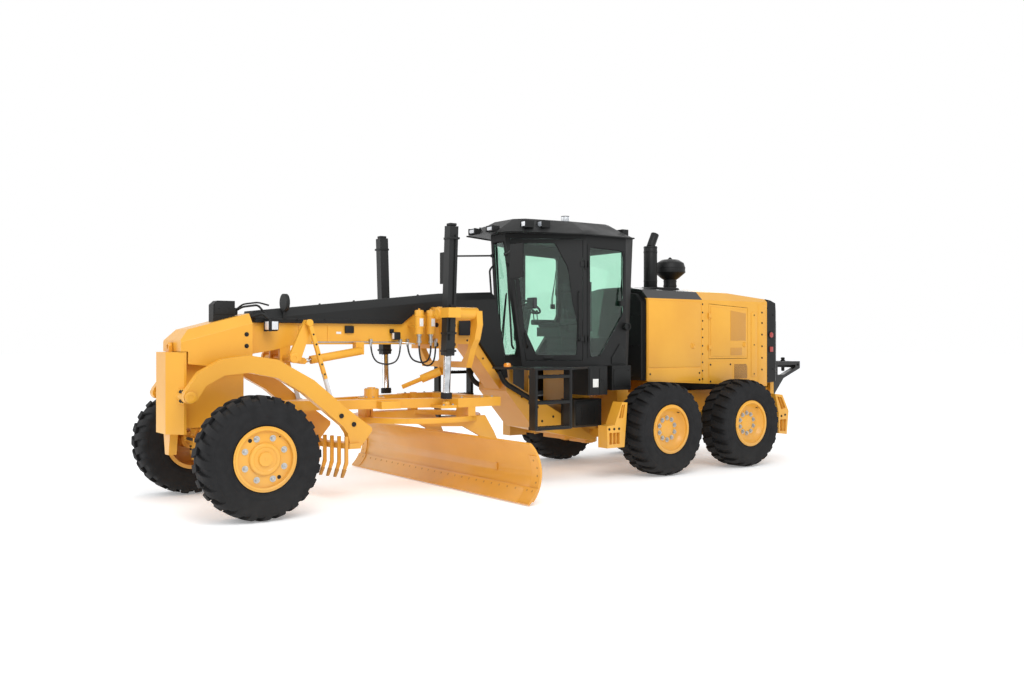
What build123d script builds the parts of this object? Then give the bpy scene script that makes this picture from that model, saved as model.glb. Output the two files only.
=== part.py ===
"""Motor grader: the front frame with its cab, the articulated rear frame with its engine
hood and tandem wheels, the leaning and steering front wheels, the drawbar, circle and blade,
and the scarifier between the front wheels and the blade.

Stations along the machine are measured from the front axle, plus forwards. X is forwards,
Y is to the left and Z is up from the ground. The finished pieces are moved forwards together,
so that the origin is on the ground under the middle of the whole machine.
"""

from build123d import *
from math import cos, hypot, radians, sin
import os

os.makedirs("parts", exist_ok=True)

# Driving dimensions, in millimetres
wheelbase = 6123          # front axle to the middle of the tandem
tandem_spacing = 1523
track = 2090
axle_height = 596
tyre_width = 440
rim_radius = 311
push_face_station = 610   # front of the push block
hitch_station = -9160     # rear end of the tow bracket
pivot_station = -5020     # articulation pin
blade_half_length = 2010
cab_floor_level = 1400

# Fits
seat_gap = 0.3            # between pieces that rest on each other
running_gap = 0.05        # round a pin or a rod, on the radius
slide_gap = 0.4           # beside plates that turn past each other
hinge_gap = 0.15          # round a door's hinge pins, on the radius
door_gap = 6              # round a door or a hinged panel

tyre_radius = axle_height
centre_shift = -(push_face_station + hitch_station) / 2
side_to_mid = track / 2
tandem_front = -(wheelbase - tandem_spacing / 2)
tandem_rear = -(wheelbase + tandem_spacing / 2)


# Shapes used throughout
def block(x, y, z):
    """A box between two stations along each axis."""
    size = [high - low for low, high in (x, y, z)]
    centre = [(high + low) / 2 for low, high in (x, y, z)]
    return Pos(*centre) * Box(*size)


def side_plate(points, y_low, y_high):
    """A plate parallel to the machine's side, drawn by (x, z) corners."""
    face = Plane.XZ.offset(-y_high) * make_face(Polyline(*points, close=True))
    return extrude(face, amount=y_high - y_low)


def cross_plate(points, x_low, x_high):
    """A plate across the machine, drawn by (y, z) corners."""
    face = Plane.YZ.offset(x_low) * make_face(Polyline(*points, close=True))
    return extrude(face, amount=x_high - x_low)


def flat_plate(points, z_low, z_high):
    """A level plate, drawn by (x, y) corners."""
    face = Plane.XY.offset(z_low) * make_face(Polyline(*points, close=True))
    return extrude(face, amount=z_high - z_low)


def bar(start, end, radius):
    """A round bar between two points."""
    start, end = Vector(start), Vector(end)
    along = end - start
    return Solid.make_cylinder(radius, along.length, Plane(origin=start, z_dir=along))


def cross_bar(x, z, y_low, y_high, radius):
    return bar((x, y_low, z), (x, y_high, z), radius)


def upright(x, y, z_low, z_high, radius):
    return bar((x, y, z_low), (x, y, z_high), radius)


def bent_tube(points, radius):
    """A tube of straight runs with a ball at each bend."""
    shape = Part() + bar(points[0], points[1], radius)
    for start, end in zip(points[1:], points[2:]):
        shape += [Pos(*start) * Sphere(radius), bar(start, end, radius)]
    return shape


def turned(points):
    """A solid of revolution about the Y axis, drawn by (radius, y) corners."""
    return revolve(make_face(Polyline(*points, close=True)), axis=Axis.Y)


def mirrored(shape):
    return mirror(shape, about=Plane.XZ)


def save(name, *shapes):
    """Write one node, moved forwards so that the origin is under the middle of the machine."""
    solids = []
    for shape in shapes:
        solids.extend(shape.solids())
    whole = Compound(solids).moved(Location((centre_shift, 0, 0)))
    export_step(whole, f"parts/{name}.step")


# Gooseneck frame, down to the articulation lugs behind the cab
beam_half = 160
beam_top = 1905
beam_bottom = 1675
beam_front = -235
saddle_rise = (-2250, -2850)      # stations where the beam is highest, under the cover
saddle_rise_top = 2055
elbow_half = 300
neck_post = ((-4860, -4450), (-230, 230), (440, cab_floor_level - seat_gap))
cab_foot = ((-3900, -3840), (160, 250), (980, cab_floor_level - seat_gap))
pin_radius = 55
pin_lug_radius = 130
pin_lug_half = 170
pin_lug_levels = ((365, 425), (545, 605), (1125, 1175), (1275, 1325))
neck_levels = ((425, 545), (1175, 1275))
beam_side = [
    (beam_front, beam_top),
    (-2050, beam_top),
    (saddle_rise[0], saddle_rise_top),
    (saddle_rise[1], saddle_rise_top),
    (-3480, 1240),
    (-3470, 1105),
    (-2990, beam_bottom),
    (-820, beam_bottom),
    (-680, 1655),
    (-520, 1615),
    (beam_front, 1568),
]
elbow_side = [
    (-3470, 1240),
    (-3765, 1081),
    (-4411, 737),
    (-4880, 453),
    (-4880, 400),
    (-4662, 441),
    (-4129, 560),
    (-3882, 616),
    (-3460, 1098),
]
accumulators = (-2165, -2320)     # stations of the two pressure bottles on the left side
accumulator_y = 400
accumulator_levels = (1790, 2050)
accumulator_radius = 52
crank_shaft = (-650, 1530)        # station and height of the scarifier's cross shaft
crank_shaft_radius = 35
hanger_band = (115, 155)


def front_frame():
    frame = side_plate(beam_side, -beam_half, beam_half)
    frame += side_plate(elbow_side, -elbow_half, elbow_half)
    frame += block(*neck_post)
    frame += [block(*cab_foot), mirrored(block(*cab_foot))]
    for low, high in pin_lug_levels:
        lug = ((pivot_station, neck_post[0][0] + 10), (-pin_lug_half, pin_lug_half), (low, high))
        frame += [block(*lug), upright(pivot_station, 0, low, high, pin_lug_radius)]
    for low, high in neck_levels:
        frame += upright(pivot_station, 0, low, high, pin_radius)
    for x in accumulators:
        frame += upright(x, accumulator_y, *accumulator_levels, accumulator_radius)
        frame += block((x - 15, x + 15), (beam_half - 5, accumulator_y), (1880, 1900))
    x, z = crank_shaft
    low, high = hanger_band
    for y_low, y_high in ((low, high), (-high, -low)):
        hanger = block((x - 60, x + 60), (y_low, y_high), (z - 60, 1665))
        frame += hanger - cross_bar(x, z, y_low - 5, y_high + 5, crank_shaft_radius + running_gap)
    return frame


# Cover over the gooseneck
cover_half = 205
cover_edge_cut = 90
cover_side = [
    (-300, beam_top + seat_gap),
    (-300, 2030),
    (-2600, 2280),
    (-3370, 2320),
    (-3560, 1260),
    (-3488, 1245),
    (saddle_rise[1] - 4, saddle_rise_top + seat_gap),
    (saddle_rise[0] + 1, saddle_rise_top + seat_gap),
    (-2050, beam_top + seat_gap),
]


def frame_cover():
    cover = side_plate(cover_side, -cover_half, cover_half)
    edges = cover.edges().filter_by(lambda edge: edge.length > 600 and edge.center().Z > 2100)
    return chamfer(edges, cover_edge_cut)


# Nose box over the front axle, with its foot, the axle pin and the drawbar's socket
nose_half = 300
nose_foot_half = 190
nose_side = [
    (500, 1604),
    (500, 1720),
    (400, 1830),
    (beam_front + seat_gap, 2000),
    (beam_front + seat_gap, 1560),
    (-100, 1480),
    (60, 1440),
    (430, 1480),
    (430, 1604),
]


def nose_level(x):
    """Height of the nose box's sloping top at a station."""
    (x_low, z_low), (x_high, z_high) = nose_side[2:4]
    return z_low + (z_high - z_low) * (x - x_low) / (x_high - x_low)


nose_foot = ((-180, 440), (-nose_foot_half, nose_foot_half), (835, 1500))
axle_pin_level = 745
axle_pin_radius = 45
axle_pin_lugs = ((-140, -95), (95, 140))
tongue_pin = (-520, 1000)         # station and height of the drawbar's front joint
tongue_pin_radius = 30
tongue_half = 50


def nose_box():
    box = side_plate(nose_side, -nose_half, nose_half)
    edges = box.edges().filter_by(lambda edge: edge.length > 600 and edge.center().Z > 1850)
    box = chamfer(edges, 100)
    box += block(*nose_foot)
    for low, high in axle_pin_lugs:
        box += block((low, high), (-110, 110), (axle_pin_level - 62, nose_foot[2][0] + 5))
    front, back = axle_pin_lugs[1][1], axle_pin_lugs[0][0]
    box += bar((back, 0, axle_pin_level), (front, 0, axle_pin_level), axle_pin_radius)
    x, z = tongue_pin
    for low, high in ((tongue_half + slide_gap, 95), (-95, -tongue_half - slide_gap)):
        box += [block((x, -170), (low, high), (z - 65, z + 65)), cross_bar(x, z, low, high, 65)]
    box += cross_bar(x, z, -95, 95, tongue_pin_radius)
    return box


# Push block at the very front, which also carries the scarifier arms' shaft
block_half = 300
block_flat_half = 160
block_depth = 165
block_levels = (780, 1600)
arm_shaft = (494, 1164)           # station and height of the scarifier arms' pivot
arm_shaft_radius = 38
arm_band = (470, 570)             # the arm lies between these distances from the middle
block_plan = [
    (push_face_station - block_depth, -block_half),
    (push_face_station - 140, -block_half),
    (push_face_station, -block_flat_half),
    (push_face_station, block_flat_half),
    (push_face_station - 140, block_half),
    (push_face_station - block_depth, block_half),
]
eye_bore_radius = 24


def push_block():
    back = push_face_station - block_depth
    low, high = block_levels
    body = flat_plate(block_plan, low, high)
    tongue = [(-110, low + 5), (110, low + 5), (60, 560), (-60, 560)]
    body += cross_plate(tongue, push_face_station - 140, push_face_station - 60)
    body += block((nose_foot[0][1] + seat_gap, back + 5), (-150, 150), (860, 1440))
    body += block((back + 5, back + 70), (-430, 430), (1090, 1238))
    body += cross_bar(*arm_shaft, -arm_band[1] - 18, arm_band[1] + 18, arm_shaft_radius)
    eye_centre = (back + 80, high + 55)
    eye = block((back + 60, back + 100), (-45, 45), (high - 5, eye_centre[1]))
    eye += bar((back + 60, 0, eye_centre[1]), (back + 100, 0, eye_centre[1]), 45)
    eye -= bar((back + 50, 0, eye_centre[1]), (back + 110, 0, eye_centre[1]), eye_bore_radius)
    return body + eye


# Front axle beam, its leaning brackets and its steering knuckles
king_pin = side_to_mid - 245      # distance of the king pin from the middle
lean_pin = (king_pin - 100, 540)  # distance from the middle, and height
axle_end = king_pin - 170
lean_pin_radius = 30
fork_end = (                      # outwards and upwards from the lean pin, rounded for the knuckle
    (-100, -62),
    (-10, -62),
    (26, -40),
    (40, -12),
    (40, 12),
    (26, 38),
    (-10, 60),
    (-100, 60),
)
king_pin_radius = 28
axle_half_depth = 85
web_half = 44
lean_bar_place = (125, 645)       # station and height of the bar that ties the leaning brackets
lean_play = 2.2                   # between the bar's balls and the lugs, which swing on an arc
tie_rod_place = (-112, 350)
tie_rod_play = 12                 # under the steering arms, which dip as the wheels lean
link_bar_radius = 17              # of the tie rod and of the bar between the brackets
tie_rod_guide = (king_pin - 235, king_pin - 205)  # the axle's guides for them, by distance from the middle
lean_bar_guide = (380, 420)
steering_arm_levels = (395, 425)
steering_eye = king_pin - 80      # distance of the steering arm's eye from the middle
axle_front = [
    (-axle_end, 600),
    (70 - axle_end, 650),
    (-300, axle_pin_level + 70),
    (300, axle_pin_level + 70),
    (axle_end - 70, 650),
    (axle_end, 600),
    (axle_end, 470),
    (axle_end - 70, 470),
    (260, axle_pin_level - 80),
    (-260, axle_pin_level - 80),
    (70 - axle_end, 470),
    (-axle_end, 470),
]


def front_axle():
    beam = cross_plate(axle_front, -axle_half_depth, axle_half_depth)
    bore = axle_pin_radius + running_gap
    beam -= bar((-200, 0, axle_pin_level), (200, 0, axle_pin_level), bore)
    y, z = lean_pin
    for side in (-1, 1):
        fork = [(side * (y + out), z + up) for out, up in fork_end]
        for low, high in ((-axle_half_depth, -web_half - 1), (web_half + 1, axle_half_depth)):
            beam += cross_plate(fork, low, high)
        pin = bar((-axle_half_depth, side * y, z), (axle_half_depth, side * y, z), lean_pin_radius)
        beam += pin
    x, z = tie_rod_place
    hanger = block((x - 38, 5 - axle_half_depth), tie_rod_guide, (z - 26, 500))
    hanger -= cross_bar(x, z, 500, 700, link_bar_radius + running_gap)
    x, z = lean_bar_place
    guide = block((axle_half_depth - 5, x + 28), lean_bar_guide, (z - 28, z + 28))
    guide -= cross_bar(x, z, 300, 500, link_bar_radius + running_gap)
    return beam + [hanger, mirrored(hanger), guide, mirrored(guide)]


def lean_bracket():
    """The left bracket: it leans on its pin and holds the king pin between two ears."""
    y, z = lean_pin
    bracket = Part() + bar((-web_half, y, z), (web_half, y, z), 44)
    bracket += block((-web_half, web_half), (y - 28, y + 35), (452, 740))
    bracket += block((-web_half, web_half), (y, king_pin + 45), (690, 740))
    bracket += block((-web_half, web_half), (y, king_pin + 45), (452, 502))
    bracket -= bar((-60, y, z), (60, y, z), lean_pin_radius + running_gap)
    bracket -= bar((0, king_pin, 440), (0, king_pin, 750), king_pin_radius + running_gap)
    x, z_bar = lean_bar_place
    return bracket + block((web_half - 4, x + 22), (y, y + 28), (z_bar - 30, z_bar + 23))


def knuckle():
    """The left knuckle, with the king pin it turns on, the wheel's spindle and a steering arm."""
    body = Part() + bar((0, king_pin, 502 + slide_gap), (0, king_pin, 690 - slide_gap), 54)
    body += bar((0, king_pin + 30, axle_height), (0, spindle_end, axle_height), spindle_radius)
    low, high = steering_arm_levels
    body += bar((0, king_pin, low), (0, king_pin, 735), king_pin_radius)
    x = tie_rod_place[0]
    arm = [(x, steering_eye - 24), (x, steering_eye + 24), (-10, king_pin + 30), (10, king_pin - 34)]
    body += flat_plate(arm, low, high)
    body += upright(x, steering_eye, low, high, 26) + upright(0, king_pin, low, high, 44)
    return body + upright(x, steering_eye, low - 5, low + 1, 10)


def lean_bar():
    x, z = lean_bar_place
    ball = 16
    end = lean_pin[0] - ball - lean_play
    rod = Part() + bar((x, -end, z), (x, end, z), link_bar_radius)
    return rod + [Pos(x, side * end, z) * Sphere(ball) for side in (-1, 1)]


def tie_rod():
    x, z = tie_rod_place
    end = steering_eye
    rod = Part() + bar((x, -end, z), (x, end, z), link_bar_radius)
    top = steering_arm_levels[0] - tie_rod_play
    return rod + [upright(x, side * end, z - 22, top, 20) for side in (-1, 1)]


# Wheels: a steel rim with its disc and hub, and a tyre out to the tips of its lugs
bead_radius = rim_radius - 18
rim_inner_radius = bead_radius - 22
spindle_radius = 50
spindle_end = side_to_mid + 145
stub_radius = 60
stub_end = side_to_mid - 85
front_disc = 164                  # the front disc stands this far outboard of the tyre's middle
rear_disc = -95
disc_half = 11
tyre_half_section = [             # radius, distance from the tyre's middle
    (bead_radius, 178),
    (316, 190),
    (335, 206),
    (430, 218),
    (520, 214),
    (545, 200),
    (562, 120),
]
lug_count = 24                    # on each shoulder
lug_half = 33
lug_top = (tyre_radius ** 2 - lug_half ** 2) ** 0.5
lug_outline = [                   # distance from the tyre's middle, height above its axle
    (12, 550),
    (12, lug_top),
    (125, lug_top),
    (190, 568),
    (tyre_width / 2, 528),
    (tyre_width / 2, 505),
    (190, 505),
]


def tyre():
    other_half = [(radius, -y) for radius, y in reversed(tyre_half_section)]
    lug = cross_plate(lug_outline, -lug_half, lug_half)
    lugs = []
    for number in range(lug_count):
        turn = 360 / lug_count * number
        lugs += [Rot(0, turn, 0) * lug, Rot(0, turn + 180 / lug_count, 0) * mirrored(lug)]
    return turned(tyre_half_section + other_half) + lugs


def rim_barrel():
    inner, outer = rim_inner_radius, bead_radius - seat_gap
    half = [(outer, 190), (rim_radius, 192), (rim_radius, 204), (inner, 204)]
    return turned(half + [(radius, -y) for radius, y in reversed(half)])


def wheel_disc(disc, hub_radius, hub_span, bore_radius, bore_end):
    """A disc across the rim, and a hub round its spindle or stub."""
    shape = turned([(0, disc - disc_half), (rim_inner_radius + 5, disc - disc_half),
                    (rim_inner_radius + 5, disc + disc_half), (0, disc + disc_half)])
    shape += turned([(0, hub_span[0]), (hub_radius, hub_span[0]), (hub_radius, hub_span[1]),
                     (0, hub_span[1])])
    bore = bore_radius + running_gap
    return shape - turned([(0, -400), (bore, -400), (bore, bore_end), (0, bore_end)])


def front_rim():
    bore_end = spindle_end - side_to_mid + slide_gap
    cap = turned([(0, 150), (155, 150), (155, 190), (143, 200), (118, 200), (110, 192), (72, 192),
                  (66, 212), (0, 212)])
    return rim_barrel() + wheel_disc(front_disc, 95, (-60, 150), spindle_radius, bore_end) + cap


def rear_rim():
    bore_end = stub_end - side_to_mid + slide_gap
    cap = turned([(0, -60), (96, -60), (96, -28), (84, -18), (0, -18)])
    return rim_barrel() + wheel_disc(rear_disc, 125, (-195, -50), stub_radius, bore_end) + cap


# Saddle on the gooseneck: side arms for the two lift cylinders, and the lock bar below
saddle_span = (-2780, -2440)
tube_place = (650, 2030)          # distance from the middle, and height
tube_radius = 70
yoke_span = (-2420, -2260)
lift_station = -2340
lift_foot = (700, 1000)           # ball joint at the drawbar: distance from the middle, height
sleeve_levels = (1550, 3000)
sleeve_lean = 0.058               # outward lean of the lift cylinders, per unit of height
sleeve_half = 56
lift_rod_radius = 42
lock_levels = (1400, 1470)
lock_half = 500
saddle_arm = [
    (560, 2060),
    (720, 2060),
    (735, 1900),
    (680, 1730),
    (590, 1615),
    (545, 1500),
    (lock_half, lock_levels[0]),
    (410, lock_levels[0]),
    (400, 1470),
    (520, 1600),
    (585, 1760),
    (600, 1920),
]


centre_shift_ends = ((-2100, 130, 1180), (-2429, 445, 1368))
centre_shift_hanger = ((-2490, -2430), (400, 495), (1320, 2000))


def lift_axis(level):
    return (lift_station, lift_foot[0] + sleeve_lean * (level - lift_foot[1]), level)


def lift_plane(level):
    """A plane square to the left lift cylinder, at a height on its axis."""
    return Plane(origin=lift_axis(level), x_dir=(1, 0, 0), z_dir=(0, sleeve_lean, 1))


def saddle():
    cheek = block(saddle_span, (cover_half + seat_gap, 250), (beam_bottom - 50, 2110))
    cheek += block((-2730, -2490), (245, 640), (1950, 2075))
    cheek += bar((saddle_span[0], *tube_place), (yoke_span[1], *tube_place), tube_radius)
    yoke = block(yoke_span, (640, 880), (1975, 2085))
    side = 2 * sleeve_half + 1
    hole = extrude(lift_plane(1900) * Rectangle(side, side), amount=260)
    cheek += block((-2500, -2430), (245, 640), (1950, 2075))
    cheek += cross_plate(saddle_arm, -2820, -2740)
    cheek = cheek + yoke - hole
    shape = cheek + mirrored(cheek)
    shape += block(saddle_span, (-250, 250), (beam_bottom - 50, beam_bottom - seat_gap))
    shape += block((-2820, -2740), (-lock_half + 20, lock_half - 20), lock_levels)
    start, end = centre_shift_ends
    shape += block(*centre_shift_hanger) - bar(start, end, 48 + seat_gap)
    return shape + bar((-2745, 0, 1435), (-2690, 0, 1435), 62)


def lift_sleeve():
    length = (sleeve_levels[1] - sleeve_levels[0])
    low = sleeve_levels[0]
    outer = extrude(lift_plane(low) * Rectangle(2 * sleeve_half, 2 * sleeve_half), amount=length)
    bore = extrude(lift_plane(low - 10) * Circle(lift_rod_radius + seat_gap), amount=length - 20)
    return outer - bore


def lift_rod():
    """The left lift cylinder's rod, with the cup that stands over the drawbar's ball."""
    rod = extrude(lift_plane(1100) * Circle(lift_rod_radius), amount=1300)
    rod += extrude(lift_plane(1060) * Circle(60), amount=70)
    return rod


def centre_shift_barrel():
    start, end = centre_shift_ends
    middle = (Vector(*start) + Vector(*end)) * 0.5
    return Part() + bar(start, middle, 26) + bar(middle, end, 48)


# Drawbar: a narrow tongue that widens into two side beams, with a cross beam behind the circle's
# middle and a ball for each lift cylinder
circle_station = -2360
circle_outer = 765
circle_inner = 660
circle_levels = (790, 850)
drawbar_levels = (955, 1060)
beam_plan = [
    (-600, 50),
    (-700, 90),
    (-850, 147),
    (-1300, 270),
    (-2410, 565),
    (-2500, 705),
    (-3090, 705),
    (-3090, 0),
    (-2930, 0),
    (-2930, 605),
    (-2500, 605),
    (-2440, 484),
    (-1300, 160),
    (-1000, 0),
    (-600, 0),
]
motor_station = -1765
shoes = (                         # stations, distances from the middle
    ((-1700, -1640), (-90, 90)),
    ((-3090, -3030), (-90, 90)),
    ((-2740, -2640), (612, 700)),
    ((-2740, -2640), (-700, -612)),
)


def drawbar():
    half = flat_plate(beam_plan, *drawbar_levels)
    half += block((-2440, -2240), (540, 765), (drawbar_levels[0], 990))
    half += upright(lift_station, lift_foot[0], 980, lift_foot[1], 28)
    half += Pos(lift_station, lift_foot[0], lift_foot[1]) * Sphere(45)
    half += block((-2660, -2610), (500, 585), (drawbar_levels[0], 1077))
    half += block((-2660, -2610), (580, 620), (drawbar_levels[0], 1055))
    body = half + mirrored(half)
    x, z = tongue_pin
    body += block((-640, x), (-tongue_half, tongue_half), (955, 1045))
    body += cross_bar(x, z, -tongue_half, tongue_half, 62)
    body -= cross_bar(x, z, -tongue_half - 5, tongue_half + 5, tongue_pin_radius + running_gap)
    body += block((-1880, -1640), (-480, 480), (drawbar_levels[0], 1040))
    body += upright(motor_station, 0, 1030, 1150, 85)
    low, high = circle_levels[0] - slide_gap, circle_levels[1] + slide_gap
    for x, y in shoes:
        body += block(x, y, (high, drawbar_levels[0] + 5))
    for end in (-1, 1):
        inner = circle_station + end * (circle_inner - 8)
        lip = circle_station + end * (circle_inner + 50)
        stem = circle_station + end * (circle_inner - 38)
        body += block(sorted((stem, inner)), (-90, 90), (low - 20, drawbar_levels[0] + 5))
        body += block(sorted((stem, lip)), (-90, 90), (low - 20, low))
    return body


# Circle: a ring under the drawbar with an arm on each side down to the blade's pivot
circle_arm_band = (580, 620)
tip_pin = (-2900, 250)            # station and height of the blade's tilting pivot
tip_pin_radius = 30
circle_arm = [
    (-1900, 845),
    (-1913, 800),
    (-2224, 748),
    (-2626, 728),
    (-2850, 610),
    (-2930, 500),
    (-2930, 380),
    (-2840, 270),
    (-2860, 200),
    (-2960, 195),
    (-3090, 350),
    (-3130, 500),
    (-3055, 650),
    (-2930, 845),
]


def circle():
    low, high = circle_levels
    ring = Pos(circle_station, 0, (low + high) / 2) * Cylinder(circle_outer, high - low)
    ring -= Pos(circle_station, 0, (low + high) / 2) * Cylinder(circle_inner, high - low + 10)
    arm = side_plate(circle_arm, *circle_arm_band)
    arm -= cross_bar(*tip_pin, 570, 630, tip_pin_radius + running_gap)
    return ring + arm + mirrored(arm)


# Blade carriage: two hooked plates that hold the blade's rails and tilt on the circle's arms
carriage_band = (420, 520)
side_shift_place = (-2790, 330)
side_shift_span = (-1000, 530)
side_shift_rod_radius = 25
rails = ((480, 520), (140, 180))  # heights of the two rails behind the blade
rail_front = -2655
rail_back = -2735
hook_gap = 6
carriage_side = [
    (-2690, 562),
    (-2690, 526),
    (rail_back - hook_gap, 526),
    (rail_back - hook_gap, 134),
    (-2690, 134),
    (-2690, 98),
    (-2790, 98),
    (-2960, 200),
    (-2960, 300),
    (-2880, 562),
]


def blade_carriage():
    plate = side_plate(carriage_side, *carriage_band)
    body = plate + mirrored(plate)
    body += cross_bar(*tip_pin, -575, 575, 45)
    body += cross_bar(*tip_pin, -640, 640, tip_pin_radius)
    low, high = side_shift_span
    body += cross_bar(*side_shift_place, low, high, 45)
    return body - cross_bar(*side_shift_place, low + 25, high + 5, side_shift_rod_radius + running_gap)


# Blade: a curved shell with two rails, and the cutting edge along its foot
blade_centre = (-2267, 330)       # station and height of the curve's centre
blade_radius = 413
blade_thickness = 22
edge_thickness = 18
blade_arc = (48.6, -42)           # degrees above and below the centre's level
edge_arc = (-22, -50.8)
side_shift_lug = (1200, 1240)


def curved_strip(inner, outer, arc):
    """A strip of the blade's curve in side view, between two radii and two angles."""
    x, z = blade_centre
    corners = []
    for radius in (inner, outer):
        row = [radians(angle) for angle in (arc[0], sum(arc) / 2, arc[1])]
        corners.append([(x - radius * cos(turn), z + radius * sin(turn)) for turn in row])
    front, back = corners
    sides = [Line(front[0], back[0]), Line(front[2], back[2])]
    return make_face([ThreePointArc(*front), ThreePointArc(*back)] + sides)


def long_strip(face, half_length):
    return extrude(Plane.XZ.offset(-half_length) * face, amount=2 * half_length)


def moldboard():
    strip = curved_strip(blade_radius, blade_radius + blade_thickness, blade_arc)
    body = long_strip(strip, blade_half_length - 6)
    for low, high in rails:
        body += block((rail_back, rail_front), (-1250, 1250), (low, high))
    low, high = side_shift_lug
    x, z = side_shift_place
    body += block((x - 35, -2660), (low, high), (z - 35, z + 35))
    return body + cross_bar(x, z, -300, high, side_shift_rod_radius)


def cutting_edge():
    outer = blade_radius - seat_gap
    strip = curved_strip(outer - edge_thickness, outer, edge_arc)
    return long_strip(strip, blade_half_length)


# Scarifier: arched arms from the push block's shaft back to a V-shaped beam with teeth
v_levels = (555, 615)
v_apex = -1040
v_slope = 0.25                    # how far the beam runs back, per unit of distance from the middle
v_depth = 135
v_half = 600
tooth_pitch = 116
tooth_count = 11
tooth_levels = (255, 690)
scarifier_arm = [
    (540, 1120),
    (545, 1210),
    (400, 1410),
    (170, 1530),
    (-100, 1566),
    (-400, 1520),
    (-800, 1300),
    (-1150, 1010),
    (-1474, 770),
    (-1474, 730),
    (-1330, 560),
    (-1225, 560),
    (-1185, 720),
    (-1130, 800),
    (-950, 950),
    (-680, 1170),
    (-400, 1330),
    (-100, 1391),
    (150, 1370),
    (340, 1270),
    (430, 1120),
]
link_foot = (-1070, 1020)
link_head = (-800, 1905)
link_y = 440
link_radius = 24


def v_front(y):
    return v_apex - v_slope * abs(y)


def scarifier_frame():
    arm = side_plate(scarifier_arm, *arm_band)
    arm += cross_bar(*arm_shaft, *arm_band, 62)
    arm += cross_bar(*link_foot, link_y - link_radius - 6, arm_band[0] + 5, 18)
    arm -= cross_bar(*arm_shaft, arm_band[0] - 5, arm_band[1] + 5, arm_shaft_radius + running_gap)
    outline = [(v_front(0), 0), (v_front(v_half), v_half), (v_front(v_half) - v_depth, v_half)]
    outline += [(v_front(0) - v_depth, 0), (v_front(v_half) - v_depth, -v_half)]
    outline += [(v_front(v_half), -v_half)]
    return arm + mirrored(arm) + flat_plate(outline, *v_levels)


def scarifier_teeth():
    low, high = tooth_levels
    side_view = [(0, high), (38, high), (38, 420), (80, low), (60, low), (0, 400)]
    teeth = []
    for number in range(tooth_count):
        y = (number - (tooth_count - 1) / 2) * tooth_pitch
        tooth = side_plate(side_view, -14, 14)
        lean = 4 if y else 0      # keeps the shank clear of the slanting front face
        teeth.append(Pos(v_front(y) + seat_gap + lean, y, 0) * tooth)
    return teeth


def bell_crank():
    x, z = crank_shaft
    corners = [(-600, 1500), (-600, 1560), (-770, 1935), (-840, 1935), (-860, 1890), (-720, 1500)]
    plate = side_plate(corners, 360, 400)
    plate += cross_bar(*link_head, 360, 409, 20)
    lever = [(-640, 1495), (-640, 1565), (-820, 1530), (-850, 1495), (-820, 1462), (-700, 1480)]
    body = plate + mirrored(plate) + cross_bar(x, z, -400, 400, crank_shaft_radius)
    return body + [side_plate(lever, 208, 222), side_plate(lever, 268, 282)]


def scarifier_link():
    x_foot, z_foot = link_foot
    x_head, z_head = link_head
    half = (link_y - link_radius, link_y + link_radius)
    link = bar((x_foot, link_y, z_foot), (x_head, link_y, z_head), link_radius)
    link = link + cross_bar(x_foot, z_foot, *half, 42) + cross_bar(x_head, z_head, *half, 36)
    return link - cross_bar(x_foot, z_foot, half[0] - 5, half[1] + 5, 18 + running_gap)


scarifier_y = 245
barrel_start = (-1497, scarifier_y, 1601)
barrel_end = (-900, scarifier_y, 1507)
rod_reach = 1.13                  # place of the rod's eye, as a share of the barrel's length
scarifier_rod_radius = 22


def scarifier_barrel():
    body = Part() + bar(barrel_start, barrel_end, 45)
    body += block((-1545, -1445), (beam_half + seat_gap, scarifier_y), (1560, 1700))
    reach = Vector(*barrel_end) - Vector(*barrel_start)
    past = Vector(*barrel_end) + reach * 0.02
    inner = Vector(*barrel_start) + reach * 0.3
    return body - bar(inner, past, scarifier_rod_radius + running_gap)


def scarifier_rod():
    reach = Vector(*barrel_end) - Vector(*barrel_start)
    inner = Vector(*barrel_start) + reach * 0.5
    eye = Vector(*barrel_start) + reach * rod_reach
    rod = Part() + bar(inner, eye, scarifier_rod_radius)
    return rod + cross_bar(eye.X, eye.Z, scarifier_y - 18, scarifier_y + 18, 30)


# Cab: a hollow shell that narrows to the windscreen, with a door in each slanting side
cab_levels = (cab_floor_level, 3050)
cab_wall = 45
cab_plan = [
    (-3500, 128),
    (-4415, 700),
    (-5080, 700),
    (-5330, 590),
    (-5330, -590),
    (-5080, -700),
    (-4415, -700),
    (-3500, -128),
]
cab_profile = [
    (-3543, 3070),
    (-3730, 1380),
    (-5138, 1380),
    (-5292, 3070),
]
door_origin = (-3567, 170, 0)
door_plane = Plane(origin=door_origin, x_dir=(-848, 530, 0), z_dir=(530, 848, 0))
door_outline = [(245, 1475), (950, 1475), (950, 2990), (50, 2990), (165, 1860)]
door_window = [
    (100, 2945),
    (606, 2945),
    (770, 2640),
    (828, 2204),
    (890, 1948),
    (880, 1530),
    (370, 1530),
    (210, 1880),
]
hinge_place = (985, 18)           # along the door and outwards from it
hinge_levels = ((1700, 1780), (2640, 2720))
hinge_radius = 8
windscreen = [(-110, 2960), (110, 2960), (195, 1520), (-195, 1520)]
side_window = [(-4470, 2900), (-5040, 2880), (-5040, 2060), (-4640, 1510), (-4470, 1510)]
rear_window = [(-480, 2900), (480, 2900), (480, 1750), (-480, 1750)]
glass_thickness = 6


def shape_outline(points, gap=0):
    """A face drawn by its corners, wider by a gap all round, or narrower if it is negative."""
    face = make_face(Polyline(*points, close=True))
    return offset(face, amount=gap, kind=Kind.INTERSECTION) if gap else face


def cab_space(inset):
    low, high = cab_levels
    plan = extrude(Plane.XY.offset(low + inset) * shape_outline(cab_plan, -inset), amount=high - low)
    profile = extrude(Plane.XZ.offset(-900) * shape_outline(cab_profile, -inset), amount=1800)
    return plan & profile


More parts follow.
